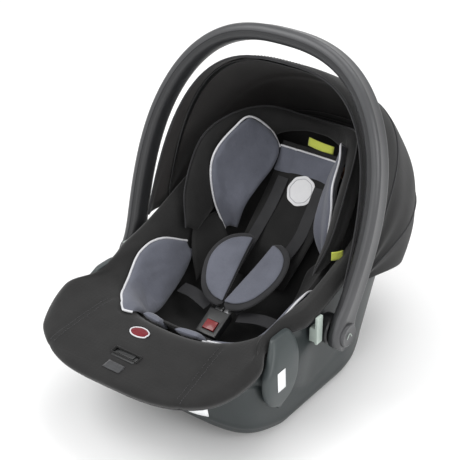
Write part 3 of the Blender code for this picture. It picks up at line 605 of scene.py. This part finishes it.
def cover():
    """The cover, its hem and its stitching. It returns a way to find its top, and its inside."""
    rows = between(cover_rings(), 8)
    out = outwards(rows)
    x, y, z = rows[..., 0], rows[..., 1], rows[..., 2]
    lip = smooth_step(-y, 0.17, 0.24) * smooth_step(z, 0.115, 0.135)
    folds = np.array([[noise.noise(Vector((p[0] * 9, p[1] * 9, p[2] * 6 + 3))) for p in row] for row in rows])
    wrinkle = 0.0022 * folds * (0.35 + 0.65 * lip)
    for side, _ in SIDES:
        near = np.exp(-((x - lip_seam(side, y)) / 0.0022) ** 2) * smooth_step(-y, 0.165, 0.185)
        wrinkle = wrinkle - 0.0011 * near
    cushion = 0.0035 * np.sin(np.clip((z - 0.09) / 0.08, 0, 1) * math.pi) * smooth_step(y, -0.05, 0.05)
    rows = rows + out * (wrinkle + 0.4 * cushion)[..., None]
    flare = smooth_step(-x, 0.05, 0.14) * smooth_step(-y, 0.150, 0.205)
    flare = flare * (1 - smooth_step(-y, 0.275, 0.320))
    flare = flare * (1 - smooth_step(np.arange(len(rows)), 32, 44))[:, None]
    rows = rows + flare[..., None] * [-0.011, 0, 0.008]
    made = closed_surface("cover_cloth", rows, BLACK, 0.0024)
    slot_box(made)
    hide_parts("seat_cover")
    hem, fold = rows[4], rows[11]
    top, inside = rows[16:56].reshape(-1, 3), rows[26:]

    def on_cover(px, py, lift=0.0010):
        k = np.argmin((top[:, 0] - px) ** 2 + (top[:, 1] - py) ** 2)
        return np.array([px, py, top[k, 2] + lift])

    for side, word in SIDES:
        line = np.array([on_cover(lip_seam(side, py), py) for py in np.linspace(-0.300, -0.190, 30)])
        for step, shift in ((1, 0.0035), (2, -0.0035)):
            stitches(f"lip_stitch_{word}_{step}", line + [side * shift, 0, 0])
    tube("cover_hem", hem[::3], 0.0024, BORDER, "seat", closed=True)
    tree = BVHTree.FromPolygons([Vector(p) for p in inside.reshape(-1, 3)],
                                grid_faces(len(inside), COLUMNS, closed=True))
    stitches("hem_stitch", np.concatenate([fold[::3], fold[:1]]) + [0, 0, 0.0008], pitch=0.0060)
    return on_cover, tree


def slot_box(cloth):
    """The opening in the cover over the harness adjuster."""
    work = bmesh.new()
    bmesh.ops.create_cube(work, size=1.0)
    bmesh.ops.scale(work, vec=(0.043, 0.012, 0.060), verts=work.verts)
    bmesh.ops.translate(work, vec=(0, -0.271, 0.160), verts=work.verts)
    cut(cloth, work, 70)


def lip_details(on_cover):
    """The plain oval tab, the bound slot and the dull patch on the lip."""
    turn = circle_turns(40)
    edge = np.array([on_cover(-0.013 + 0.0150 * math.cos(a), -0.228 + 0.0095 * math.sin(a), 0.0016)
                     for a in turn])
    tube("oval_tab_edge", edge, 0.0011, PIPING, "seat", closed=True)
    middle = edge.mean(axis=0)
    shares = (0.98, 0.7, 0.4, 0.15)
    rows = np.array([middle + (edge - middle) * s + [0, 0, 0.0010 * (1 - s * s)] for s in shares])
    last = (len(shares) - 1) * len(turn)
    faces = grid_faces(len(shares), len(turn), closed=True) + [tuple(range(last, last + len(turn)))]
    tab = mesh_object("oval_tab", rows.reshape(-1, 3), faces, TAB_RED, "seat")
    thicken(tab, 0.0006)
    slot_edge = [on_cover(x, y, 0.0012) for x, y in
                 [(-0.0225, -0.2655), (0.0225, -0.2655), (0.0225, -0.2765), (-0.0225, -0.2765)]]
    loop = np.concatenate([np.linspace(a, b, 8, endpoint=False) for a, b in
                           zip(slot_edge, slot_edge[1:] + slot_edge[:1])])
    tube("slot_binding", loop, 0.0013, LINING, "seat", closed=True)
    patch = [[on_cover(x, y, 0.0011) for x in np.linspace(-0.014, 0.014, 9)]
             for y in np.linspace(-0.304, -0.290, 5)]
    made = grid_object("reflective_patch", patch, REFLECTOR, "seat")
    thicken(made, 0.0006)


# --- canopy -----------------------------------------------------------------------------------------
def canopy_arc(tilt, half_width, reach, start, count):
    low = math.asin((start / reach) ** 1.5)
    turn = np.linspace(low, math.pi - low, count)
    away = reach * np.sin(turn) ** (2 / 3)
    return np.stack([-half_width * np.sign(np.cos(turn)) * np.abs(np.cos(turn)) ** (2 / 3),
                     CANOPY_Y + away * math.sin(tilt), CANOPY_Z + away * math.cos(tilt)], axis=1)


def canopy_reach(tilt):
    swell = 0.0175 * math.sin(min(max((tilt - 0.95) / 0.62, 0), 1) * math.pi / 2) ** 2
    return 0.2770 + swell - 0.020 * min(max((tilt - 1.58) / 0.30, 0), 1) ** 2


def canopy_surface(tilts):
    """Rows of the canopy's cloth, which sags a little and reaches forward at its lower corners."""
    rows = []
    for tilt in tilts:
        slack = math.sin(min(max((tilt - 0.30) / 0.50, 0), 1) * math.pi)
        reach = canopy_reach(tilt) - 0.0045 * slack - 0.0020 * math.exp(-((tilt - 0.785) / 0.03) ** 2)
        arc = canopy_arc(tilt, 0.1798, reach, 0.016, CANOPY_COLUMNS)
        low = 1 - np.hypot(arc[:, 1] - CANOPY_Y, arc[:, 2] - CANOPY_Z) / reach
        ahead = (1 - smooth_step(tilt, 0.23, 0.85)) * np.maximum(low, 0) ** 0.75
        rows.append(arc - ahead[:, None] * [0, 0.042, 0.010])
    return np.array(rows)


def canopy():
    """The cloth over the hoops, the cords and stitches on it, and the strip that is its bow."""
    tilts = np.radians(np.linspace(13.2, 108, CANOPY_ROWS))
    rows = canopy_surface(tilts)
    out = normals(rows)
    if np.sum(out * (rows - [0, CANOPY_Y, CANOPY_Z])) < 0:
        out = -out
    span = np.linspace(-1, 1, CANOPY_COLUMNS)[None, :]
    share = np.linspace(0, 1, CANOPY_ROWS)[:, None]
    gather = np.clip((np.abs(span) - 0.55) / 0.45, 0, 1) ** 1.5
    pleats = np.sin(tilts[:, None] * 15 + 2.2 * np.sin(span * 5)) * gather * 0.0016
    folds = np.array([[noise.noise(Vector(p) * 11) for p in row] for row in rows]) * 0.0030
    edge_ease = smooth_step(share, 0.0, 0.10)
    rows = rows + out * ((pleats + folds) * edge_ease - 0.0009)[..., None]
    made = mesh_object("canopy_cloth", rows.reshape(-1, 3), grid_faces(CANOPY_ROWS, CANOPY_COLUMNS),
                       CANOPY_CLOTH, None, sharp=80)
    crown = made.data.polygons[len(made.data.polygons) // 2]
    if crown.normal.dot(crown.center - Vector((0, CANOPY_Y, CANOPY_Z))) < 0:
        made.data.flip_normals()
    made.data.materials.append(CANOPY_INSIDE)
    solid = made.modifiers.new("Thickness", "SOLIDIFY")
    solid.thickness, solid.offset, solid.material_offset = 0.0016, -1, 1
    apply_modifiers(made)
    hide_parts("canopy_front", "canopy_rear")
    pieces = [made]
    for word, tilt, lift in (("front", 13.4, 0.0), ("band", 18.2, 0.0004), ("middle", 45.0, 0.0004),
                             ("rear", 84.0, 0.0006)):
        k = int(np.argmin(np.abs(np.degrees(tilts) - tilt)))
        line = rows[k] + out[k] * lift
        if word == "band":
            pieces.append(stitches("canopy_stitch_" + word, line, body=None, pitch=0.0055))
        else:
            radius = 0.0019 if word == "front" else 0.0013
            pieces.append(tube("canopy_cord_" + word, line[::2], radius, BORDER, None))
    start, end = [(0, CANOPY_Y + canopy_reach(t) * math.sin(t), CANOPY_Z + canopy_reach(t) * math.cos(t))
                  for t in (math.radians(20), math.radians(100))]
    for piece in pieces:
        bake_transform(piece)
        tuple(start)
        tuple(end)
    bow_rows = [canopy_arc(t, 0.1733, 0.2700, 0.0185, CANOPY_COLUMNS)
                for t in BOW_TILT + np.linspace(-0.026, 0.026, 4)]
    bow = grid_object("bow_strip", bow_rows, DARK, "canopy")
    thicken(bow, 0.0018)
    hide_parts("canopy_bow")


# --- handle -----------------------------------------------------------------------------------------
def handle_middle(turn):
    away = HANDLE_REACH * abs(math.cos(turn)) ** (2 / 3.13)
    share = min(max(away - HUB_RADIUS, 0) / (0.7 * HANDLE_REACH - HUB_RADIUS), 1)
    wide = HANDLE_X_PIVOT + (HANDLE_X_WIDE - HANDLE_X_PIVOT) * math.sin(share * math.pi / 2)
    return wide * math.copysign(abs(math.sin(turn)) ** (2 / 2.56), turn), away


def handle_stations():
    """(x, distance from the axis, half width, half thickness) from one leg's end over to the other's."""
    middle = np.array([handle_middle(t) for t in np.linspace(-math.pi / 2, math.pi / 2, 961)])
    walked = walk(middle)
    half_way = walked[-1] / 2
    left = [(-HANDLE_X_PIVOT, -HUB_RADIUS * math.cos(c), HUB_RADIUS * math.sin(c), 0.0105)
            for c in np.radians([4, 10, 17, 25, 34, 44, 55, 67, 79])]
    share = np.linspace(0, 1, 72)
    ease = 0.35 * (1 - np.cos(share * math.pi / 2)) + 0.65 * share
    for place in half_way * ease:
        x, away = (np.interp(place, walked, middle[:, k]) for k in (0, 1))
        width = 0.0180 + (HUB_RADIUS - 0.0180) * math.exp(-(max(away, 0) / 0.030) ** 2)
        left.append((x, away, width, 0.0105 + 0.0015 * min(place / half_way * 1.2, 1)))
    return left + [(-x, away, width, thick) for x, away, width, thick in left[-2::-1]]


def handle_sweep(name, section, material):
    stations = handle_stations()
    rise = Vector((0, math.sin(HANDLE_TILT), math.cos(HANDLE_TILT)))
    across = Vector((0, math.cos(HANDLE_TILT), -math.sin(HANDLE_TILT)))
    points = []
    for k, (x, away, width, thick) in enumerate(stations):
        before, after = stations[max(k - 1, 0)], stations[min(k + 1, len(stations) - 1)]
        ahead = Vector((after[0] - before[0], 0, 0)) + rise * (after[1] - before[1])
        out = ahead.cross(across).normalized()
        middle = HANDLE_AXIS + Vector((x, 0, 0)) + rise * away
        points += [middle + across * (a * width) + out * (b * thick) for a, b in section]
    faces = capped_faces(len(stations), len(section))
    return mesh_object(name, points, faces, material, "handle", sharp=42)


def round_hole(obj, side, radius, low, high):
    """Cuts a round recess about the handle's axis."""
    work = bmesh.new()
    bmesh.ops.create_cone(work, cap_ends=True, segments=64, radius1=radius, radius2=radius, depth=high - low)
    turn = Vector((0, 0, 1)).rotation_difference(Vector((1, 0, 0))).to_matrix()
    bmesh.ops.rotate(work, verts=work.verts, matrix=turn)
    bmesh.ops.translate(work, verts=work.verts, vec=HANDLE_AXIS + Vector((side * (low + high) / 2, 0, 0)))
    cut(obj, work, 42)


def handle():
    seam = 0.03
    outer_section = [(-1.0, seam), (-1.0, 0.20), (-0.965, 0.50), (-0.86, 0.78), (-0.70, 0.94), (-0.58, 1.0),
                     (-0.50, 0.965), (0.50, 0.965), (0.58, 1.0), (0.70, 0.94), (0.86, 0.78), (0.965, 0.50),
                     (1.0, 0.20), (1.0, seam)]
    inner_section = [(0.97, 0.0), (0.97, -0.25), (0.90, -0.60), (0.74, -0.88), (0.52, -1.0), (0.0, -1.03),
                     (-0.52, -1.0), (-0.74, -0.88), (-0.90, -0.60), (-0.97, -0.25), (-0.97, 0.0)]
    outer = handle_sweep("handle_outer_shell", outer_section, HANDLE)
    inner = handle_sweep("handle_inner_shell", inner_section, HANDLE_EDGE)
    for side, _ in SIDES:
        round_hole(outer, side, BUTTON_RADIUS + 0.0005, 0.1850, 0.2150)
        round_hole(inner, side, 0.0048, 0.1750, 0.1960)
    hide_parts("handle_outer")
    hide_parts("handle_inner")
    for side, word in SIDES:
        release_button(side, word)
        mark = HANDLE_AXIS + Vector((side * 0.2068, 0, 0))
        arrow = [mark + Vector((0, a, b)) for a, b in ((-0.0060, -0.003), (0.0, 0.004), (0.0060, -0.003))]
        tube("button_mark_" + word, curve(arrow, 13), 0.0006, PALE, "handle_button_" + word)


def release_button(side, word):
    """A round button turned about the handle's axis."""
    profile = ((0.1986, 0.0172), (0.2050, 0.0174), (0.2060, 0.0168), (0.2066, 0.0154), (0.2062, 0.0140),
               (0.2058, 0.0080))   # distance from the middle plane, radius
    turn = circle_turns(56)
    rows = [np.stack([np.full(len(turn), side * x), HANDLE_AXIS.y + r * np.cos(turn),
                      HANDLE_AXIS.z + r * np.sin(turn)], axis=1) for x, r in profile]
    made = mesh_object("release_button_" + word, np.concatenate(rows), capped_faces(len(rows), len(turn)),
                       HANDLE, "handle_button_" + word, sharp=35)
    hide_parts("handle_button_" + word)


# --- padding ----------------------------------------------------------------------------------------
def mirrored(points, side):
    return np.array(points, float) * [side, 1, 1]


def lofted(lines, rows, columns, middle):
    """A pad's grid over its lines, facing the middle of the space that it lines."""
    return facing(np.transpose(loft(lines, rows, columns), (1, 0, 2)), middle)


def head_wing(side, word):
    front = [(0.092, 0.0715, 0.1635), (0.104, 0.0600, 0.2145), (0.1095, 0.0585, 0.2655),
             (0.1045, 0.0670, 0.300), (0.0950, 0.0990, 0.326), (0.0820, 0.1230, 0.340)]
    rear = [(0.080, 0.088, 0.160), (0.064, 0.088, 0.205), (0.056, 0.113, 0.232), (0.050, 0.144, 0.256),
            (0.052, 0.162, 0.282), (0.069, 0.160, 0.308)]
    middle = [tuple((np.array(a) + b) / 2 + np.array([0.005, 0.005, 0])) for a, b in zip(front, rear)]
    grid = lofted([mirrored(line, side) for line in (front, middle, rear)], 25, 45, HEAD_MIDDLE)
    made = pad("wing_" + word, grid, 0.009, 0.005, GREY, cap=0.004)
    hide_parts("head_wing_" + word)
    edge = curve(mirrored(front + rear[:3:-1], side), 100)
    tube("wing_piping_" + word, edge, 0.0017, PIPING, "seat")


def head_pillow():
    upper = [(0.117, 0.004, 0.186), (0.133, 0.024, 0.243), (0.132, 0.062, 0.310), (0.114, 0.112, 0.338),
             (0.082, 0.165, 0.343), (0.036, 0.196, 0.330), (0.0, 0.203, 0.326)]
    lower = [(0.110, 0.022, 0.175), (0.112, 0.066, 0.192), (0.107, 0.102, 0.226), (0.097, 0.140, 0.262),
             (0.068, 0.178, 0.294), (0.032, 0.194, 0.304), (0.0, 0.198, 0.305)]
    whole = [np.concatenate([line[:-1], np.array(line[::-1]) * [-1, 1, 1]]) for line in (lower, upper)]
    middle = (whole[0] + whole[1]) / 2
    grid = lofted([whole[0], middle, whole[1]], 17, 121, HEAD_MIDDLE)
    # the pillow is black cloth, and its darker black knit also holds painted shade for the shadow it lies in
    # under the canopy
    made = pad("pillow", grid, 0.014, 0.012, LINING, cap=0.008)
    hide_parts("head_pillow")
    top_edge = grid[:, 0] if grid[40, 0, 2] > grid[40, -1, 2] else grid[:, -1]
    tube("pillow_seam", top_edge, 0.0011, BORDER, "seat")


def back_panel():
    middle = curve([(0, 0.030, 0.120), (0, 0.085, 0.167), (0, 0.135, 0.213), (0, 0.163, 0.252),
                    (0, 0.176, 0.290)], 49)
    rows = []
    for k, (_, y, z) in enumerate(middle):
        half = 0.052 + 0.007 * math.sin(math.pi * k / 48)
        s = np.linspace(-1, 1, 33)
        groove = 0.0012 * np.exp(-((s + 0.48) / 0.035) ** 2)
        rows.append(np.stack([half * s, y - 0.006 * s * s + groove, z + 0.003 * s * s - groove], axis=1))
    grid = facing(np.array(rows), HEAD_MIDDLE)
    made = pad("back_pad", grid, 0.003, 0.011, LINING, cap=0.003)
    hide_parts("back_panel")
    top = grid[37:47] + normals(grid)[37:47] * 0.0030
    pad("back_band", top, 0.0035, 0.002, GREY, cap=0.002)
    tube("back_band_piping", top[-1], 0.0016, PIPING, "seat")
    badge(grid, made)


def badge(grid, panel):
    """A plain pale patch with a stitched ring, lying on the middle of the back panel."""
    surface = BVHTree.FromPolygons([v.co for v in panel.data.vertices],
                                   [list(p.vertices) for p in panel.data.polygons])
    at = np.argmin(np.linalg.norm(grid.reshape(-1, 3) - [0.002, 0.148, 0.225], axis=1))
    centre = grid.reshape(-1, 3)[at]
    out = normals(grid).reshape(-1, 3)[at]
    side = np.array([1.0, 0, 0])
    up = np.cross(out, side)
    if up[2] < 0:
        up = -up
    turn = circle_turns(64)

    def circle(radius, lift):
        wavy = 1.12 * radius * (1 + 0.02 * np.cos(8 * turn))
        flat = centre + side * (wavy * np.cos(turn))[:, None] + up * (wavy * np.sin(turn))[:, None]
        lying = [surface.ray_cast(Vector(p + 0.05 * out), Vector(-out))[0] for p in flat]
        return np.array(lying) + out * lift

    rows = np.array([circle(r, lift) for r, lift in ((0.0215, 0.0000), (0.0215, 0.0010), (0.0195, 0.0015),
                                                     (0.012, 0.0016), (0.004, 0.0016))])
    mesh_object("plain_badge", rows.reshape(-1, 3), capped_faces(*rows.shape[:2]), BADGE, "seat")
    tube("badge_ring", circle(0.0172, 0.0016), 0.0007, BADGE_THREAD, "seat", closed=True)


def thigh_pad(side, word, cloth):
    top = [(0.066, -0.203, 0.160), (0.098, -0.172, 0.158), (0.123, -0.126, 0.160), (0.137, -0.080, 0.178),
           (0.1345, -0.036, 0.180), (0.122, 0.012, 0.158)]
    low = [(0.050, -0.199, 0.157), (0.062, -0.150, 0.118), (0.074, -0.100, 0.092), (0.086, -0.056, 0.088),
           (0.098, -0.010, 0.104), (0.110, 0.022, 0.140)]
    low = [tuple(0.82 * np.array(b) + 0.18 * np.array(a)) for a, b in zip(top, low)]
    middle = [tuple((np.array(a) + b) / 2 + np.array([0.004, -0.002, -0.004])) for a, b in zip(top, low)]
    lines = [mirrored(line, side) for line in (top, middle, low)]
    if side > 0:    # the right pad's foot end is tucked down into the well
        for line in lines:
            line[:, 2] -= 0.026 * smooth_step(-line[:, 1], 0.050, 0.150)
            line[:, 1] += 0.018 * smooth_step(-line[:, 1], 0.120, 0.190)
    grid = lying_on(lofted(lines, 25, 45, WELL_MIDDLE), cloth, 0.0045)
    made = pad("thigh_cushion_" + word, grid, 0.010, 0.003, GREY, cap=0.005)
    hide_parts("thigh_pad_" + word)
    if abs(grid[22, 0, 0]) < abs(grid[22, -1, 0]):
        grid = grid[:, ::-1]
    edge = curve(np.concatenate([grid[0, :0:-4], grid[:, 0]]), 90)
    tube("thigh_piping_" + word, edge, 0.0018, PIPING, "seat")


def chest_leaf(side, inset, lift, rows, columns):
    """A grid over half of the heart-shaped pad on the harness; inset draws its outer edge in."""
    inner = curve([(0.0008, 0.031, 0), (0.0060, 0.070, 0), (0.0120, 0.110, 0), (0.0180, 0.153, 0)], rows)
    outer = curve([(0.0065, 0.0250, 0), (0.0280, 0.0285, 0), (0.0500, 0.0460, 0), (0.0650, 0.0780, 0),
                   (0.0680, 0.1070, 0), (0.0600, 0.1330, 0), (0.0440, 0.1490, 0), (0.0270, 0.1555, 0)], rows)
    span = outer - inner
    reach = np.linalg.norm(span, axis=1, keepdims=True)
    outer = inner + span * np.maximum(reach - inset, 0.25 * reach) / reach
    inner = inner + span * min(inset, 0.001) / reach
    if inset:
        inner, outer = (edge * [1, 0.93, 1] + [0, 0.006, 0] for edge in (inner, outer))
    grid = []
    for near, far in zip(inner, outer):
        row = []
        for share in np.linspace(0, 1, columns):
            x, along, _ = near * (1 - share) + far * share
            point = BUCKLE_AT + ALONG * along + OUT * (0.0145 + 2.0 * x * x + lift)
            row.append((side * x, point.y, point.z))
        grid.append(row)
    return facing(np.array(grid), BUCKLE_AT + OUT)


def chest_pad(side, word):
    whole, face = chest_leaf(side, 0.0, -0.003, 37, 25), chest_leaf(side, 0.0075, 0.0012, 37, 21)
    made = pad("chest_cushion_" + word, whole, 0.004, 0.006, BORDER, cap=0.003)
    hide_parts("chest_pad_" + word)
    pad("chest_leaf_" + word, face, 0.0035, 0.002, GREY, cap=0.002)


def front_bumps(cloth):
    """The padded tongue under the crotch strap and the two small rolls on the front slope of the well."""
    middle = curve([(0, -0.176, 0.150), (0, -0.158, 0.126), (0, -0.140, 0.100), (0, -0.122, 0.084)], 17)
    slope = [[(x, y, z) for x in np.linspace(-0.030, 0.030, 13)] for _, y, z in middle]
    grid = lying_on(facing(np.array(slope), WELL_MIDDLE), cloth, 0.004)
    made = pad("crotch_cushion", grid, 0.008, 0.003, LINING, cap=0.003)
    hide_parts("crotch_pad")
    for side, word in SIDES:
        lines = [[(side * (0.014 + 0.036 * t), -0.186 + 0.010 * t + d, 0.152 - 1.1 * max(d, 0))
                  for t in np.linspace(0, 1, 4)] for d in (-0.006, 0.007, 0.020)]
        grid = lying_on(lofted(lines, 11, 17, WELL_MIDDLE), cloth, 0.006)
        pad("front_roll_" + word, grid, 0.008, 0.004, GREY, cap=0.002)


def side_bolster(side, word, cloth):
    """The black roll between the thigh pad and the head wing."""
    lines = [[(0.121, 0.026, 0.176), (0.118, 0.050, 0.184), (0.106, 0.074, 0.194)],
             [(0.108, 0.006, 0.146), (0.104, 0.040, 0.156), (0.092, 0.070, 0.172)],
             [(0.084, -0.014, 0.106), (0.080, 0.024, 0.126), (0.072, 0.060, 0.150)]]
    grid = lofted([mirrored(line, side) for line in lines], 17, 21, WELL_MIDDLE)
    grid = lying_on(grid, cloth, 0.006)
    pad("side_bolster_" + word, grid, 0.010, 0.005, LINING, cap=0.005)


# --- harness ----------------------------------------------------------------------------------------
def strap(name, route, width, replaced, across=(1, 0, 0)):
    """Flat webbing with thick edges, along a smooth curve through the route."""
    centre = curve(route, max(12, int(len(route) * 9)))
    across = Vector(across).normalized()
    rings = []
    for k, point in enumerate(centre):
        ahead = Vector(centre[min(k + 1, len(centre) - 1)]) - Vector(centre[max(k - 1, 0)])
        side = (across - across.project(ahead)).normalized()
        up = ahead.cross(side).normalized()
        section = []
        for turn in circle_turns(20):
            a = math.copysign(abs(math.cos(turn)) ** 0.25, math.cos(turn))
            thick = 1.0 + 0.35 * max(abs(a) - 0.8, 0) / 0.2
            b = math.copysign(abs(math.sin(turn)) ** 0.35, math.sin(turn)) * thick
            section.append(Vector(point) + side * (a * width / 2) + up * (b * WEBBING_THICKNESS / 2))
        rings.append(section)
    points = [p for section in rings for p in section]
    made = mesh_object(name, points, capped_faces(len(rings), len(rings[0])), WEBBING, "seat")
    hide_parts(replaced)


def harness():
    end = BUCKLE_AT - 0.0228 * ALONG
    strap("crotch_webbing", [end, end - 0.009 * ALONG - 0.001 * OUT, (0, -0.1095, 0.0745)], 0.025, "crotch_strap")
    for side, word in SIDES:
        x = Vector((side, 0, 0))
        start = BUCKLE_AT + 0.0325 * ALONG + 0.014 * x
        strap("shoulder_webbing_" + word,
              [start, start + 0.025 * ALONG + 0.010 * x, (side * 0.036, 0.074, 0.172),
               (side * 0.035, 0.116, 0.2055), (side * 0.034, 0.147, 0.2410)], 0.020, "shoulder_strap_" + word)
        strap("hip_webbing_" + word,
              [start + Vector((side * 0.013, -0.006, -0.004)), (side * 0.062, -0.048, 0.1155),
               (side * 0.0900, -0.042, 0.112)], 0.020, "hip_strap_" + word, across=(0, 1, 0.3))
    strap("adjuster_webbing",
          [(0, -0.288, 0.1325), (0, -0.271, 0.1325), (0, -0.256, 0.1325), (0, -0.238, 0.1290),
           (0, -0.215, 0.110), (0, -0.190, 0.080), (0, -0.150, 0.0575), (0, -0.100, 0.0510),
           (0, 0.020, 0.0500), (0, 0.100, 0.0880), (0, 0.172, 0.146)], 0.022, "adjuster_strap")


# --- hard pieces ------------------------------------------------------------------------------------
def refined(node, material, width, segments=3, body="seat"):
    """A copy of a hard piece with its edges rounded, which stands for it."""
    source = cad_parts[node]
    mesh = source.data.copy()
    work = bmesh.new()
    work.from_mesh(mesh)
    bmesh.ops.remove_doubles(work, verts=work.verts, dist=0.00002)
    bmesh.ops.dissolve_limit(work, angle_limit=math.radians(2), verts=work.verts, edges=work.edges)
    bmesh.ops.recalc_face_normals(work, faces=work.faces)
    work.to_mesh(mesh)
    work.free()
    mesh.materials.clear()
    mesh.materials.append(material)
    made = bpy.data.objects.new(node + "_finish", mesh)
    bpy.context.scene.collection.objects.link(made)
    made.matrix_world = source.matrix_world.copy()
    bevel = made.modifiers.new("Rounded edges", "BEVEL")
    bevel.width, bevel.segments, bevel.limit_method = width, segments, "ANGLE"
    bevel.angle_limit = math.radians(35)
    apply_modifiers(made)
    made.data.set_sharp_from_angle(angle=math.radians(40))
    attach(made, body)
    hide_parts(node)
    return made


def hard_pieces():
    refined("buckle_housing", DARK, 0.0022)
    # the buckle button's darkened red holds painted shade
    refined("buckle_button", RED_IN_PAINTED_SHADE, 0.0004, body="buckle_button")
    refined("adjuster_housing", DARK, 0.0006)
    refined("adjuster_button", DARK, 0.0004, body="adjuster_button")
    refined("harness_yoke", STEEL, 0.0003)
    for _, word in SIDES:
        refined("buckle_tongue_" + word, STEEL, 0.0005)
        refined("belt_marker_" + word, PALE, 0.0010)
    for node, material in (("hub_plate_", DARK), ("pivot_pin_", STEEL), ("canopy_clip_", DARK)):
        for _, word in SIDES:
            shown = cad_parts[node + word]
            shown.data.materials.clear()
            shown.data.materials.append(material)


def springs():
    """The release buttons' springs, as steel copies carried by the handle."""
    for side, word in SIDES:
        node = "button_spring_" + word
        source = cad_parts[node]
        coil = bpy.data.objects.new(node + "_finish", source.data.copy())
        bpy.context.scene.collection.objects.link(coil)
        coil.matrix_world = source.matrix_world.copy()
        coil.data.materials.clear()
        coil.data.materials.append(STEEL)
        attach(coil, "handle")
        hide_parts(node)
        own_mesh(coil)


def tags():
    """Plain fabric tags and a paper label, all blank."""
    def tag(name, corners, material, sag=0.0015):
        a, b, c, d = (np.array(p, float) for p in corners)
        rows = []
        for v in np.linspace(0, 1, 7):
            row = []
            for u in np.linspace(0, 1, 9):
                p = (a * (1 - u) + b * u) * (1 - v) + (d * (1 - u) + c * u) * v
                row.append(p + [0, -sag * math.sin(math.pi * u), sag * 0.6 * math.sin(math.pi * v)])
            rows.append(row)
        made = grid_object(name, rows, material, "seat")
        thicken(made, 0.0006)

    tag("yellow_tag",
        [(-0.010, 0.180, 0.304), (0.036, 0.180, 0.300), (0.036, 0.177, 0.287), (-0.010, 0.177, 0.291)],
        YELLOW)
    tag("orange_tag",
        [(0.060, 0.166, 0.284), (0.072, 0.158, 0.283), (0.071, 0.154, 0.264), (0.059, 0.162, 0.265)],
        ORANGE)
    tag("side_tag",
        [(0.138, 0.018, 0.226), (0.150, 0.030, 0.228), (0.150, 0.030, 0.214), (0.138, 0.018, 0.212)],
        YELLOW)
    tag("paper_label",
        [(0.064, -0.262, 0.118), (0.118, -0.250, 0.116), (0.112, -0.236, 0.080), (0.072, -0.246, 0.084)],
        LABEL, sag=0.003)


# --- stage ------------------------------------------------------------------------------------------
def stage():
    mesh = bpy.data.meshes.new("floor")
    work = bmesh.new()
    rows = []
    for y, z in [(-4.0, 0.0), (2.2, 0.0)] + [(2.2 + 1.2 * math.sin(a), 1.2 - 1.2 * math.cos(a))
                                           for a in np.linspace(0.15, math.pi / 2, 9)] + [(3.4, 4.5)]:
        rows.append([work.verts.new((x, y, z)) for x in (-6, 6)])
    for (a, b), (c, d) in zip(rows, rows[1:]):
        work.faces.new((a, b, d, c))
    work.to_mesh(mesh)
    work.free()
    mesh.shade_smooth()
    floor = bpy.data.objects.new("floor", mesh)
    floor.location.z = -0.0004
    floor.rotation_euler.z = math.radians(36.78)
    bpy.context.scene.collection.objects.link(floor)
    paper = Nodes("studio_paper")
    paper.shader.inputs["Base Color"].default_value = (0.93, 0.93, 0.93, 1)
    paper.shader.inputs["Roughness"].default_value = 0.9
    mesh.materials.append(paper.material)
    bpy.context.scene.view_settings.view_transform = "Standard"
    world = bpy.context.scene.world or bpy.data.worlds.new("studio")
    bpy.context.scene.world = world
    world.use_nodes = True
    world.node_tree.nodes["Background"].inputs["Color"].default_value = (1.0, 1.0, 1.0, 1)
    world.node_tree.nodes["Background"].inputs["Strength"].default_value = 0.75
    for name, at, size, power in (("key", (-1.2, -1.4, 2.4), 1.6, 34), ("side", (2.2, -0.6, 1.4), 1.4, 20),
                                  ("top", (0.2, 0.7, 2.6), 1.8, 26), ("front", (0.7, -2.4, 0.9), 1.2, 8)):
        data = bpy.data.lights.new(name, "AREA")
        data.size, data.energy = size, power
        lamp = bpy.data.objects.new(name, data)
        lamp.location = at
        lamp.rotation_euler = (Vector((0, 0, 0.25)) - Vector(at)).to_track_quat("-Z", "Y").to_euler()
        bpy.context.scene.collection.objects.link(lamp)


def camera():
    target = Vector((-0.0325, 0.005, 0.2105))
    azimuth, elevation, distance = math.radians(36.78), math.radians(29.56), 1.8064
    place = target + distance * Vector((math.sin(azimuth) * math.cos(elevation),
                                        -math.cos(azimuth) * math.cos(elevation), math.sin(elevation)))
    data = bpy.data.cameras.new("camera")
    data.lens, data.sensor_width = 94.6, 36
    made = bpy.data.objects.new("camera", data)
    made.location = place
    made.rotation_euler = (target - place).to_track_quat("-Z", "Y").to_euler()
    bpy.context.scene.collection.objects.link(made)
    bpy.context.scene.camera = made


def main():
    camera()
    stage()
    shell()
    liner()
    on_cover, cloth = cover()
    lip_details(on_cover)
    canopy()
    handle()
    head_pillow()
    back_panel()
    front_bumps(cloth)
    harness()
    hard_pieces()
    springs()
    for side, word in SIDES:
        head_wing(side, word)
        thigh_pad(side, word, cloth)
        side_bolster(side, word, cloth)
        chest_pad(side, word)
        belt_guide(side, word)
    tags()


main()
